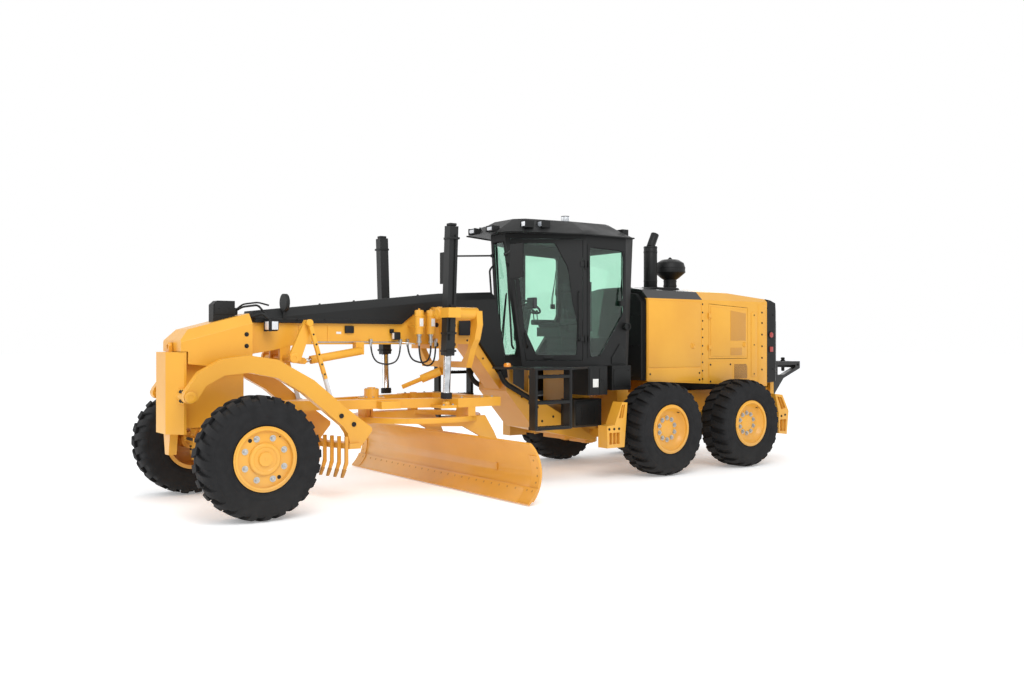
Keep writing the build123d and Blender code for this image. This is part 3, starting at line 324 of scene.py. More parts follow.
# Bolts: hexagon heads on round washers, blackened on the frame, hood and cover, zinc-plated on the
# blade gear and wheels. Those here hold the nose, the saddle's cheeks and the axle's pin caps.
def toned(name, dark, light, roughness, metallic=0.0, coat=0.0, scale=12.0, grain=0.05, sheen=0.5):
    """A plain finish of two close shades, with a fine grain."""
    material, tree, shader, coords = finish_of(name, roughness, metallic, coat, sheen)
    tone = shades(tree, noise_on(tree, coords, scale), dark, light)
    tint(tree, shader, tone)
    rough_between(tree, shader, noise_on(tree, coords, scale * 2), roughness * 0.85, roughness * 1.15)
    roughen(tree, shader, noise_on(tree, coords, 220.0, 1.0), grain)
    return material


def facing(place, direction):
    """Turns a shape drawn along +Z to point in a direction, and moves it to a place."""
    turn = Vector((0, 0, 1)).rotation_difference(Vector(direction)).to_matrix().to_4x4()
    return Matrix.Translation(place) @ turn


def merge_in(bm, part, matrix=Matrix.Identity(4)):
    """Adds a finished shape to a piece's mesh."""
    bmesh.ops.recalc_face_normals(part, faces=part.faces)
    part.transform(matrix)
    mesh = bpy.data.meshes.new("part")
    part.to_mesh(mesh)
    part.free()
    bm.from_mesh(mesh)
    bpy.data.meshes.remove(mesh)


def ease(part, edges, width, segments=1):
    """Bevels edges of a shape, as a file or a press leaves them."""
    bmesh.ops.bevel(part, geom=edges, offset=width, affect="EDGES", segments=segments,
                    profile=0.5, material=-1, clamp_overlap=True)


def add_bolts(bm, places, direction, across):
    """Hexagon heads on washers, standing at places given by station, with their tops chamfered."""
    for spot in places:
        head = bmesh.new()
        for sides_of, radius, low, high in (
            (16, 0.9 * across, 0.0, 0.14 * across), (6, 0.577 * across, 0.13 * across, 0.65 * across),
        ):
            middle = Matrix.Translation((0, 0, (low + high) / 2))
            bmesh.ops.create_cone(head, cap_ends=True, segments=sides_of, radius1=radius,
                                  radius2=radius, depth=high - low, matrix=middle)
        top = [edge for edge in head.edges if all(v.co.z > 0.6 * across for v in edge.verts)]
        ease(head, top, 0.07 * across)
        merge_in(bm, head, facing(at(*spot), direction))


def add_side_bolts(bm, side, face, places, across):
    """Bolts on a flat face on one side of the machine, at places by station and height."""
    add_bolts(bm, [(x, side * face, z) for x, z in places], (0, side, 0), across)


def finished(name, bm, body, material):
    """Makes a piece from its mesh, and lets it ride on a body."""
    bmesh.ops.recalc_face_normals(bm, faces=bm.faces)
    mesh = bpy.data.meshes.new(name)
    bm.to_mesh(mesh)
    bm.free()
    mesh.materials.append(material)
    mesh.shade_smooth()
    mesh.set_sharp_from_angle(angle=radians(35))
    made = bpy.data.objects.new(name, mesh)
    scene.collection.objects.link(made)
    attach(made, body)
    return made


zinc_plate = toned("zinc_plate", "a9aaa8", "c6c6c3", 0.3, metallic=0.9, scale=40.0)
black_oxide = toned("black_oxide", "1b1b1b", "262626", 0.4, metallic=0.5, scale=40.0)
bm = bmesh.new()
for side in (1, -1):
    add_side_bolts(bm, side, 0.3, product((-0.17,), (1.66, 1.78)), 0.026)
    add_side_bolts(bm, side, 0.25, product((-2.73, -2.61, -2.49), (1.67, 1.9)), 0.03)
    add_side_bolts(bm, side, 0.43, product((0.46,), (1.12, 1.21)), 0.022)
    add_bolts(bm, [(0.515, side * y, z) for y in (0.34, 0.4) for z in (1.12, 1.21)], (1, 0, 0), 0.024)
    for end in (1, -1):
        corners = [(side * 0.716, 0.556), (side * 0.716, 0.524), (side * 0.684, 0.556),
                   (side * 0.684, 0.524)]
        add_bolts(bm, [(end * 0.085, y, z) for y, z in corners], (end, 0, 0), 0.014)
finished("frame_bolts", bm, "front_frame_body", black_oxide)


# Front frame fittings: pin caps at the saddle tubes and the scarifier's shafts, the small bare plate
# on the beam's side, the two bottles' caps and necks, and bare labels. Steel, bolted or pressed on.
def add_turned(bm, spot, direction, profile, steps=28):
    """A turned shape, drawn by (radius, height) points, standing at a place given by station."""
    part = bmesh.new()
    found = [part.verts.new((radius, 0, height)) for radius, height in profile]
    line = [part.edges.new(pair) for pair in zip(found, found[1:])]
    bmesh.ops.spin(part, geom=found + line, cent=(0, 0, 0), axis=(0, 0, 1), angle=2 * pi,
                   steps=steps, use_merge=True)
    bmesh.ops.remove_doubles(part, verts=part.verts, dist=0.00002)
    merge_in(bm, part, facing(at(*spot), direction))


def cap_profile(radius, height, rim=0.006):
    """A shallow round cap with a rounded rim and a dimple in the middle."""
    dimple = height - rim * 0.6
    return [(radius, 0), (radius, height - rim), (radius - rim * 0.3, height - rim * 0.3),
            (radius - rim, height), (radius * 0.45, height), (radius * 0.4, dimple), (0, dimple)]


def thicken(part, corners, shift):
    """A flat shape between corners, made as thick as a shift."""
    face = part.faces.new([part.verts.new(corner) for corner in corners])
    grown = bmesh.ops.extrude_face_region(part, geom=[face])["geom"]
    far = [item for item in grown if isinstance(item, bmesh.types.BMVert)]
    bmesh.ops.translate(part, vec=shift, verts=far)
    bmesh.ops.recalc_face_normals(part, faces=part.faces)


def both_ways(side, near, far):
    """Two distances from the middle, in rising order on either side."""
    return sorted((side * near, side * far))


def add_plate(bm, outline, axis, low, high, edge=0.002, segments=2):
    """A plate with eased edges, drawn by corners across an axis. Corners use stations for X."""
    place = {
        "X": lambda corner, depth: at(depth, *corner),
        "Y": lambda corner, depth: at(corner[0], depth, corner[1]),
        "Z": lambda corner, depth: at(*corner, depth),
    }[axis]
    part = bmesh.new()
    thicken(part, [place(corner, low) for corner in outline], place((0, 0), high) - place((0, 0), low))
    ease(part, part.edges[:], edge, segments)
    merge_in(bm, part)


def add_side_plate(bm, outline, side, near, far, edge=0.002, segments=2):
    """A plate on one side of the machine, between two distances from its middle."""
    add_plate(bm, outline, "Y", *both_ways(side, near, far), edge, segments)


def rectangle(x, z):
    """The corners of a rectangle, given by its two ends in both directions."""
    return [(x[0], z[0]), (x[1], z[0]), (x[1], z[1]), (x[0], z[1])]


def add_block(bm, x, y, z, edge=0.004, segments=2):
    """A block with rounded edges between two stations, two distances and two heights."""
    add_plate(bm, rectangle(x, y), "Z", *z, edge, segments)


def add_pipe(bm, points, radius, corner=0.05):
    """A round bar or tube through points given by station, bent at its corners."""
    route = [at(*point) for point in points]
    path = [route[0]]
    for before, here, after in zip(route, route[1:], route[2:]):
        start = here + (before - here).normalized() * corner
        end = here + (after - here).normalized() * corner
        for step in range(7):
            share = step / 6
            path.append(start.lerp(here, share).lerp(here.lerp(end, share), share))
    path.append(route[-1])
    line = bpy.data.curves.new("pipe", "CURVE")
    line.dimensions = "3D"
    line.bevel_depth = radius
    line.bevel_resolution = 3
    line.use_fill_caps = True
    spline = line.splines.new("POLY")
    spline.points.add(len(path) - 1)
    for point, spot in zip(spline.points, path):
        point.co = (*spot, 1)
    holder = bpy.data.objects.new("pipe", line)
    bm.from_mesh(holder.to_mesh())
    holder.to_mesh_clear()
    bpy.data.objects.remove(holder)
    bpy.data.curves.remove(line)


def on_side(side, *points):
    """Points drawn on the left, put on the left or the right of the machine."""
    return [(x, side * y, z) for x, y, z in points]


up = (0, 0, 1)
bottle_stations = (-2.165, -2.32)
bottle_middle = 0.4
bm = bmesh.new()
for side in (1, -1):
    out = (0, side, 0)
    add_turned(bm, (-0.65, side * 0.4, 1.53), out, cap_profile(0.052, 0.012))
    add_turned(bm, (0.494, side * 0.588, 1.164), out, cap_profile(0.058, 0.012))
    add_turned(bm, (-2.26, side * 0.65, 2.03), (1, 0, 0), cap_profile(0.06, 0.012))
    add_turned(bm, (-2.78, side * 0.65, 2.03), (-1, 0, 0), cap_profile(0.06, 0.012))
    add_turned(bm, (-0.52, side * 0.095, 1.0), out, cap_profile(0.05, 0.014))
bottle_collar = [(0.0522, 0), (0.056, 0.002), (0.056, 0.018), (0.0522, 0.02)]
for x in bottle_stations:
    for z in (1.86, 1.99):
        add_turned(bm, (x, bottle_middle, z), up, bottle_collar)
    add_turned(bm, (x, bottle_middle, 2.05),
               up, [(0.052, 0), (0.05, 0.012), (0.03, 0.018), (0.012, 0.019), (0.012, 0.034), (0, 0.034)])
for z, way in ((1.325, 1), (0.365, -1)):
    add_turned(bm, (-5.02, 0, z), (0, 0, way), cap_profile(0.085, 0.02, 0.008))
for low, high in ((-0.83, -0.8), (-1.17, -1.14)):
    add_plate(bm, rectangle((low, high), (1.7, 1.88)), "Y", 0.1602, 0.166)
finished("frame_caps", bm, "front_frame_body", yellow_enamel)

bm = bmesh.new()
for x in bottle_stations:
    add_turned(bm, (x, bottle_middle, 1.79), (0, 0, -1),
               [(0.03, 0), (0.03, 0.02), (0.022, 0.024), (0.022, 0.07), (0.028, 0.074), (0.028, 0.1),
                (0.014, 0.1), (0.014, 0.13), (0, 0.13)])
finished("bottle_fittings", bm, "front_frame_body", zinc_plate)

white_plate = toned("white_plate", "dcdcd8", "e6e6e2", 0.45, scale=30.0)
bm = bmesh.new()
for x in bottle_stations:
    add_plate(bm, rectangle((x - 0.024, x + 0.024), (1.88, 1.97)), "Y", 0.4526, 0.4536, 0.0004)
add_plate(bm, rectangle((-4.482, -4.391), (1.138, 1.241)), "Y", 0.8503, 0.8525, 0.001)
add_plate(bm, rectangle((-1.245, -1.305), (1.79, 1.815)), "Y", 0.1603, 0.1615, 0.0004)
finished("bare_labels", bm, "front_frame_body", white_plate)


# Nose unit, beam switch box and cover hardware: moulded black plastic and black-painted steel,
# bolted to the nose and along the cover's foot. The cover's upper panel overlaps the lower one.
beam_side, cover_side = 0.1602, 0.2052
moulding = toned("moulding", "131414", "191a1a", 0.55, scale=60.0, grain=0.12, sheen=0.3)
bm = bmesh.new()
add_block(bm, (-0.118, 0.086), (0.07, 0.075), (1.985, 2.118), 0.018, 4)
for x in (-0.07, 0.04):
    add_turned(bm, (x, 0.075, 2.05), (0, 1, 0), cap_profile(0.008, 0.004, 0.002), 12)
add_block(bm, (-0.17, -0.13), (-0.05, 0.05), (1.983, 2.06), 0.01)
add_plate(bm, rectangle((-1.345, -1.453), (1.8, 1.88)), "Y", beam_side, 0.185, 0.006)
add_block(bm, (-1.95, -1.91), (0.16, 0.2), (1.8, 1.85), 0.005)
add_block(bm, (-2.012, -1.93), (0.19, 0.25), (1.725, 1.815), 0.012, 3)
add_pipe(bm, [(-0.15, 0.04, 2.03), (-0.2, 0.1, 2.07), (-0.34, 0.17, 2.09), (-0.42, 0.2, 1.99),
              (-0.45, 0.24, 1.93)], 0.011, 0.03)
add_pipe(bm, [(-0.15, 0.0, 2.03), (-0.22, 0.06, 2.1), (-0.36, 0.12, 2.12), (-0.47, 0.15, 2.09)],
         0.009, 0.03)
for side in (1, -1):
    add_pipe(bm, on_side(side, (-0.25, 0.19, 1.96), (-0.36, 0.26, 2.0), (-0.42, 0.29, 1.94)), 0.016, 0.03)
    add_side_plate(bm, rectangle((-0.34, -2.02), (1.93, 1.955)), side, cover_side, 0.2085, 0.001)
    add_side_plate(bm, rectangle((-2.83, -3.02), (1.78, 1.96)), side, cover_side, 0.2085, 0.001)
finished("nose_and_cover_fittings", bm, "front_frame_body", moulding)
bm = bmesh.new()
for side in (1, -1):
    add_bolts(bm, [(-0.45 - 0.32 * n, side * 0.2085, 1.943) for n in range(5)], (0, side, 0), 0.015)
    add_bolts(bm, [(-2.95, side * 0.205, 1.72), (-3.18, side * 0.205, 1.5)], (0, side, 0), 0.015)
for number in range(5):
    x = -0.7 - 0.42 * number
    add_bolts(bm, [(x, 0.0, 2.0737 - 0.1087 * (x + 0.7))], (0.108, 0, 0.994), 0.018)
finished("cover_bolts", bm, "front_frame_body", black_oxide)


# Lamps: black housings with clear ribbed glass, on the nose and round the cab roof, each on a bent
# strap, a clear flashing lamp on top, an amber side lamp and the small work lamp under the beam.
clear_lens, tree, shader, coords = finish_of("clear_lens", 0.08, coat=0.6)
ribs = tree.nodes.new("ShaderNodeTexWave")
ribs.inputs["Scale"].default_value = 36.0
tree.links.new(coords.outputs["Object"], ribs.inputs["Vector"])
tint(tree, shader, shades(tree, ribs.outputs["Fac"], "a9aeb4", "f2f4f6"))
roughen(tree, shader, ribs.outputs["Fac"], 0.3)
soften("lamps", moulding, 0.012)
roof_lamp_faces = (
    (-3.29, 0.13, 0.26, 3.06, 3.13), (-3.62, 0.4, 0.5, 3.11, 3.195),
    (-3.85, 0.43, 0.53, 3.12, 3.205),
)
lens_bm, shell_bm = bmesh.new(), bmesh.new()
for side in (1, -1):
    for x, near, far, low, high in roof_lamp_faces + ((-0.4, 0.225, 0.36, 1.815, 1.93),):
        span = both_ways(side, near + 0.013, far - 0.013)
        add_block(lens_bm, (x + 0.0004, x + 0.012), span, (low + 0.013, high - 0.013), 0.008, 3)
        for y in (near, far):
            edge = both_ways(side, y - 0.006, y + 0.006)
            add_block(shell_bm, (x - 0.02, x + 0.016), edge, (low - 0.003, high + 0.003), 0.003)
    add_block(lens_bm, (-5.232, -5.2204), both_ways(side, 0.493, 0.587), (3.093, 3.162), 0.008, 3)
    add_side_plate(lens_bm, rectangle((-0.415, -0.485), (1.83, 1.915)), side, 0.3604, 0.368, 0.003)
add_turned(lens_bm, (-4.64, 0, 3.285),
           up, [(0.0552, 0), (0.0575, 0.004), (0.0575, 0.07), (0.054, 0.0775), (0.0552, 0.078)])
add_block(lens_bm, (-1.93, -1.9244), (0.196, 0.244), (1.735, 1.805), 0.002)
finished("lamp_glasses", lens_bm, "front_frame_body", clear_lens)
finished("lamp_shells", shell_bm, "front_frame_body", moulding)
amber_lens = toned("amber_lens", "d9821c", "f09a2a", 0.15, coat=0.6, scale=50.0)
bm = bmesh.new()
for side in (1, -1):
    add_turned(bm, (-3.3, side * 0.55, 1.402), up, [(0.045, 0), (0.045, 0.03), (0.035, 0.045), (0, 0.052)])
finished("amber_lamps", bm, "front_frame_body", amber_lens)


# Cab outside: folded black steel. Grab rails on the front posts, rubber seals round the glass, door
# pulls with their locks, wipers with their motors, rain gutters and the rear corner brackets.
door_foot = (-3.567, 0.17)
door_run, door_spread = 0.848, 0.53


def on_door(along, out, height, side):
    """A point by its distance along the slanting door, outwards from it and its height."""
    station = door_foot[0] - door_run * along + door_spread * out
    return (station, side * (door_foot[1] + door_spread * along + door_run * out), height)


def add_on_door(bm, outline, out_low, out_high, side, edge):
    """A plate on the slanting door, drawn by (along, height) corners."""
    part = bmesh.new()
    corners = [at(*on_door(along, out_low, height, side)) for along, height in outline]
    thicken(part, corners, Vector((door_spread, side * door_run, 0)) * (out_high - out_low))
    ease(part, part.edges[:], edge, 2)
    merge_in(bm, part)


seal_rubber = toned("seal_rubber", "0f0f10", "161617", 0.75, scale=90.0, grain=0.1)
window_edge = [(0.1, 2.945), (0.606, 2.945), (0.77, 2.64), (0.828, 2.204), (0.89, 1.948),
               (0.88, 1.53), (0.37, 1.53), (0.21, 1.88)]
for side_name, side in sides:
    trim, seal = bmesh.new(), bmesh.new()
    loop = [on_door(along, -0.012, height, side) for along, height in window_edge]
    add_pipe(seal, loop + loop[:2], 0.0075, 0.035)
    add_on_door(trim, rectangle((0.46, 0.58), (1.487, 1.52)), 0.0002, 0.02, side, 0.006)
    for *bends, radius, corner in (
        ((0.255, 0.0, 1.63), (0.255, 0.05, 1.65), (0.225, 0.05, 1.8), (0.225, 0.0, 1.82), 0.01, 0.02),
        ((0.9, 0.0, 1.72), (0.9, 0.045, 1.73), (0.9, 0.045, 2.32), (0.9, 0.0, 2.33), 0.011, 0.025),
    ):
        add_pipe(trim, [on_door(*bend, side) for bend in bends], radius, corner)
    finished(f"{side_name}_door_seal", seal, f"{side_name}_cab_door", seal_rubber)
    finished(f"{side_name}_door_trim", trim, f"{side_name}_cab_door", moulding)
cab_side = 0.7003
trim, seal = bmesh.new(), bmesh.new()
for side in (1, -1):
    edge = [(-4.47, 2.9), (-5.04, 2.88), (-5.04, 2.06), (-4.64, 1.51), (-4.47, 1.51)]
    loop = [(x, side * 0.6935, z) for x, z in edge]
    add_pipe(seal, loop + loop[:2], 0.0075, 0.05)
    add_side_plate(trim, [(-4.83, 1.42), (-5.06, 1.42), (-5.06, 1.6), (-4.97, 1.68), (-4.83, 1.5)],
                   side, cab_side, 0.712, 0.004)
    add_turned(trim, (-5.065, side * 0.7, 1.9), (0, side, 0),
               [(0.045, 0), (0.052, 0.03), (0.05, 0.06), (0.036, 0.066), (0.034, 0.05), (0, 0.05)])
    add_block(trim, (-5.03, -4.96), both_ways(side, 0.7, 0.735), (2.165, 2.235), 0.01)
    add_pipe(trim, on_side(side, (-4.995, 0.725, 2.2), (-5.005, 0.735, 2.3), (-5.048, 0.712, 2.7)),
             0.006, 0.02)
    add_pipe(trim, on_side(side, (-4.975, 0.725, 2.2), (-4.985, 0.735, 2.3), (-5.043, 0.712, 2.64)),
             0.004, 0.02)
    add_side_plate(trim, [(-5.028, 2.36), (-5.04, 2.36), (-5.062, 2.84), (-5.05, 2.84)],
                   side, 0.7005, 0.709, 0.002)
    add_pipe(trim, on_side(side, (-3.685, 0.145, 1.62), (-3.63, 0.185, 1.66), (-3.555, 0.195, 2.62),
                           (-3.585, 0.15, 2.68)), 0.013, 0.03)
    add_pipe(trim, on_side(side, (-3.3, 0.335, 3.046), (-4.34, 0.768, 3.046), (-5.19, 0.742, 3.046)),
             0.01, 0.02)
    add_block(trim, (-5.3, -5.14), both_ways(side, 0.56, 0.6), (3.055, 3.078), 0.004)
    add_side_plate(trim, rectangle((-4.43, -4.455), (1.5, 2.93)), side, cab_side, 0.706, 0.002)
    for z in (1.74, 2.68):
        add_block(trim, (-4.452, -4.425), both_ways(side, 0.703, 0.725), (z - 0.04, z + 0.04), 0.005)
add_pipe(trim, [(-3.6, 0.0, 1.5), (-3.585, 0.0, 1.6), (-3.62, 0.07, 2.3)], 0.007, 0.03)
add_plate(trim, [(-0.02, 1.7), (0.0, 1.7), (0.085, 2.32), (0.07, 2.32)], "X", -3.632, -3.622, 0.002)
cab_floor = 1.38
windscreen = ((-0.11, 2.96), (0.11, 2.96), (0.195, 1.52), (-0.195, 1.52))
rear_window = ((-0.48, 2.9), (0.48, 2.9), (0.48, 1.75), (-0.48, 1.75))
for pane, foot, lean, corner in (
    (windscreen, -3.732, 0.11065, 0.03), (rear_window, -5.134, -0.09112, 0.05),
):
    loop = [(foot + lean * (z - cab_floor), y, z) for y, z in pane]
    add_pipe(seal, loop + loop[:2], 0.008, corner)
finished("cab_trim", trim, "front_frame_body", moulding)
finished("cab_seals", seal, "front_frame_body", seal_rubber)
soften("mirrors", moulding, 0.012)
mirror_glass, tree, shader, coords = finish_of("mirror_glass", 0.03, metallic=1.0)
tint(tree, shader, shades(tree, noise_on(tree, coords, 3.0), "b8bcc0", "cdd1d4"))
bm = bmesh.new()
for x, y in ((-3.33, 0.7), (-3.21, -0.7)):
    add_block(bm, (x - 0.0148, x - 0.0142), (y - 0.105, y + 0.105), (2.475, 2.855), 0.0002, 1)
add_turned(bm, (-0.64, 0.215, 2.12), (-1, 0, 0), [(0.082, 0.0003), (0.081, 0.0012), (0, 0.0018)], 48)
finished("mirror_faces", bm, "front_frame_body", mirror_glass)


# Cab inside: a suspension seat with a padded cushion, back and head roll, arm pods with control
# levers, a ribbed pedestal and a screen on the front post. Cloth and moulded plastic.
trim_plastic, tree, shader, coords = finish_of("trim_plastic", 0.6)
tint(tree, shader, shades(tree, noise_on(tree, coords, 30.0), "2f3132", "393b3c"))
roughen(tree, shader, noise_on(tree, coords, 400.0, 2.0), 0.25, 0.0005)
soften("cab_interior", trim_plastic, 0.02)
seat_cloth = toned("seat_cloth", "232629", "303438", 0.9, scale=120.0, grain=0.35)
for name, x, z in (
    ("seat_cushion", (-4.775, -4.345), (1.8958, 1.955)),
    ("seat_back_pad", (-4.7895, -4.735), (1.97, 2.36)),
    ("head_roll", (-4.79, -4.73), (2.375, 2.485)),
):
    bm = bmesh.new()
    add_block(bm, x, (-0.215, 0.215), z, 0.02, 4)
    finished(name, bm, "front_frame_body", seat_cloth)
bm = bmesh.new()
for side in (1, -1):
    add_block(bm, (-4.68, -4.33), both_ways(side, 0.27, 0.36), (1.93, 2.0), 0.02, 3)
    add_block(bm, (-4.6, -4.46), both_ways(side, 0.2405, 0.3), (1.84, 1.94), 0.01)
    for x in (-4.36, -4.42):
        add_pipe(bm, on_side(side, (x, 0.315, 1.995), (x + 0.015, 0.315, 2.1)), 0.007)
        add_turned(bm, (x + 0.015, side * 0.315, 2.085),
                   up, [(0, 0), (0.014, 0.004), (0.019, 0.02), (0.014, 0.04), (0, 0.045)], 16)
add_block(bm, (-3.9, -3.85), (0.2, 0.36), (2.12, 2.26), 0.012, 3)
add_pipe(bm, [(-3.86, 0.28, 2.12), (-3.8, 0.22, 1.95), (-3.79, 0.2, 1.6)], 0.01, 0.04)
for z in (1.52, 1.6, 1.68, 1.76):
    add_block(bm, (-4.735, -4.435), (-0.172, 0.172), (z - 0.012, z + 0.012), 0.006)
finished("cab_controls", bm, "front_frame_body", trim_plastic)
soften("engine", black_enamel)


# Steps and side boxes: folded black steel. Each tread has a raised grip edge and round grip
# studs, the boxes have bolted lids with ribs, latches and hinges, and a duct runs down beside them.
step_face, lid_face = 1.1152, 0.8503
bm = bmesh.new()
for side in (1, -1):
    for z in (1.295, 0.993, 0.691):
        for x in (-3.36, -3.46, -3.56, -3.66, -3.76):
            for y in (0.99, 1.04, 1.09):
                add_turned(bm, (x, side * y, z + 0.018),
                           up, [(0.011, 0), (0.008, 0.004), (0.006, 0.001), (0, 0.001)], 8)
        add_side_plate(bm, rectangle((-3.335, -3.795), (z - 0.012, z + 0.012)),
                       side, step_face, 1.119, 0.001)
    for x in (-3.307, -3.821):
        add_side_plate(bm, rectangle((x - 0.012, x + 0.012), (0.69, 1.38)), side, step_face, 1.1175, 0.001)
    add_side_plate(bm, [(-4.345, 0.645), (-4.757, 0.645), (-4.757, 0.9), (-4.72, 0.95), (-4.38, 0.95),
                        (-4.345, 0.9)], side, 0.5703, 0.578, 0.004)
    for x in (-4.44, -4.55, -4.66):
        add_side_plate(bm, rectangle((x - 0.008, x + 0.008), (0.68, 0.87)), side, 0.5775, 0.584, 0.002)
    add_side_plate(bm, rectangle((-4.5, -4.62), (1.06, 1.37)), side, lid_face, 0.856, 0.003)
    add_side_plate(bm, rectangle((-4.335, -4.375), (1.06, 1.37)), side, lid_face, 0.856, 0.003)
    add_side_plate(bm, rectangle((-4.83, -5.115), (1.12, 1.36)), side, 0.7403, 0.746, 0.004)
    add_pipe(bm, on_side(side, (-3.324, 0.345, 1.35), (-3.4, 0.345, 1.2), (-3.6, 0.345, 1.1),
                         (-3.86, 0.345, 0.96)), 0.032, 0.08)
    add_turned(bm, (-4.55, side * 0.856, 1.22), (0, side, 0),
               [(0.026, 0), (0.026, 0.005), (0.02, 0.008), (0.009, 0.008), (0.008, 0.004), (0, 0.004)])
finished("step_and_box_fittings", bm, "front_frame_body", moulding)
bm = bmesh.new()
for side in (1, -1):
    add_side_bolts(bm, side, 0.578, product((-4.365, -4.737), (0.67, 0.88)), 0.014)
    add_side_bolts(bm, side, 0.746, product((-4.85, -5.095), (1.14, 1.34)), 0.014)
    add_side_bolts(bm, side, 0.3, ((-3.7, 1.02), (-3.95, 0.88), (-4.2, 0.75), (-4.02, 0.7)), 0.018)
finished("side_bolts", bm, "front_frame_body", black_oxide)


# Hood: sheet steel, yellow on the sides and the falling rear top, black over the engine's front.
# Raised pressed panels, a bolted hinge strip and corner strips, round paddle latches, a roof pad
# and perforated air panels that are yellow sheet full of small holes, each hole a dark spot of painted
# shade with a dent in the relief.
def two_tone(name, first, second, limits, roughness, coat=0.15, sheen=0.4):
    """The second colour shows beyond every limit along its axis, and the first elsewhere."""
    material, tree, shader, coords = finish_of(name, roughness, 0.0, coat, sheen)
    zone = 1.0
    for axis, limit in limits:
        past = reckoned(tree, "GREATER_THAN", place_on(tree, coords, axis), limit)
        zone = reckoned(tree, "MULTIPLY", zone, past)
    tone = noise_on(tree, coords, 1.3)
    near, far = (shades(tree, tone, *pair, 0.35, 0.65) for pair in (first, second))
    tint(tree, shader, mixed(tree, zone, near, far))
    roughen(tree, shader, noise_on(tree, coords, 160.0, 1.0), 0.06)
    return material


hood_paint = two_tone("hood_paint", yellow_pair, black_pair, (("Z", 2.2852), ("X", -2.255)), 0.36)
soften("hood", hood_paint)
air_panel, tree, shader, coords = finish_of("air_panel", 0.5)
holes = tree.nodes.new("ShaderNodeTexVoronoi")
holes.inputs["Scale"].default_value = 120.0
holes.inputs["Randomness"].default_value = 0.0
tree.links.new(coords.outputs["Object"], holes.inputs["Vector"])
# The holes are dark spots in the colour: painted shade of the space behind the sheet.
tint(tree, shader, shades(tree, holes.outputs["Distance"], "2e220f", "c98f3a", 0.32, 0.4))
roughen(tree, shader, holes.outputs["Distance"], 0.5, 0.002)


def add_latch(bm, x, z, side, face):
    """A round paddle latch in a dished ring."""
    dish = [(0.04, 0), (0.04, 0.005), (0.033, 0.008), (0.028, 0.003), (0, 0.002)]
    add_turned(bm, (x, side * face, z), (0, side, 0), dish, 32)
    add_block(bm, (x - 0.006, x + 0.006), both_ways(side, face + 0.002, face + 0.009),
              (z - 0.026, z + 0.026), 0.003)


hood_side = 0.6803
panels, bolts, meshes = bmesh.new(), bmesh.new(), bmesh.new()
for side_name, side in sides:
    for outline in (
        [(-5.505, 1.362), (-6.495, 1.362), (-6.495, 2.245), (-5.505, 2.262)],
        [(-5.505, 1.195), (-6.495, 1.145), (-6.495, 1.342), (-5.505, 1.342)],
        [(-6.66, 1.12), (-7.13, 1.108), (-7.13, 1.415), (-6.66, 1.415)],
        [(-7.548, 1.205), (-7.668, 1.205), (-7.668, 2.11), (-7.64, 2.135), (-7.57, 2.135), (-7.548, 2.11)],
    ):
        add_side_plate(panels, outline, side, hood_side, 0.686, 0.003, 3)
    add_side_plate(panels, [(-7.7, 1.085), (-7.87, 1.078), (-7.87, 2.235), (-7.7, 2.255)],
                   side, hood_side, 0.683, 0.001)
    add_side_plate(panels, [(-6.512, 1.145), (-6.552, 1.143), (-6.552, 2.255), (-6.512, 2.256)],
                   side, hood_side, 0.683, 0.001)
    add_latch(panels, -6.338, 1.649, side, 0.686)
    out = (0, side, 0)
    add_side_bolts(bolts, side, 0.683, product((-7.785,), (1.3, 1.47, 1.64, 1.81, 1.98, 2.131)), 0.016)
    add_bolts(bolts, [(-6.532, side * 0.683, 1.19 + 0.115 * n) for n in range(10)], out, 0.014)
    add_side_bolts(bolts, side, 0.686, ((-5.53, 1.275), (-6.47, 1.275), (-6.47, 1.18)), 0.016)
    add_side_bolts(bolts, side, 0.686, product((-6.69, -7.1), (1.15, 1.385)), 0.016)
    add_side_bolts(bolts, side, 0.686, product((-7.61,), (1.24, 1.66, 2.09)), 0.012)
    add_side_plate(meshes, [(-7.187, 1.178), (-7.465, 1.178), (-7.465, 1.35), (-7.44, 1.386),
                            (-7.187, 1.386)], side, hood_side, 0.683, 0.001)
    door = bmesh.new()
    add_side_plate(door, [(-6.7, 1.5), (-7.415, 1.5), (-7.44, 1.525), (-7.44, 2.12), (-7.4, 2.16),
                          (-6.7, 2.198)], side, hood_side, 0.685, 0.003, 3)
    add_latch(door, -7.405, 1.665, side, 0.685)
    finished(f"{side_name}_door_pressing", door, f"{side_name}_engine_door", yellow_enamel)
    door = bmesh.new()
    add_side_plate(door, [(-7.105, 1.722), (-7.425, 1.722), (-7.425, 2.11), (-7.105, 2.15)],
                   side, 0.6853, 0.688, 0.001)
    add_side_plate(door, rectangle((-7.105, -7.345), (1.515, 1.62)), side, 0.6853, 0.688, 0.001)
    finished(f"{side_name}_door_air_panels", door, f"{side_name}_engine_door", air_panel)
finished("hood_panels", panels, "rear_frame_body", yellow_enamel)
finished("hood_air_panels", meshes, "rear_frame_body", air_panel)
for y in (0.45, 0.58, -0.45, -0.58):
    add_bolts(bolts, [(-5.4301, y, z) for z in (1.25, 1.65, 2.05)], (1, 0, 0), 0.018)
finished("hood_bolts", bolts, "rear_frame_body", black_oxide)
bm = bmesh.new()
add_plate(bm, [(-5.93, 2.4402), (-6.5, 2.4402), (-6.47, 2.466), (-5.98, 2.466)],
          "Y", -0.285, 0.285, 0.006, 3)
for x in (-5.56, -5.74):
    add_block(bm, (x - 0.06, x + 0.06), (-0.25, 0.25), (2.4402, 2.448), 0.003)
finished("hood_roof_pads", bm, "rear_frame_body", black_enamel)


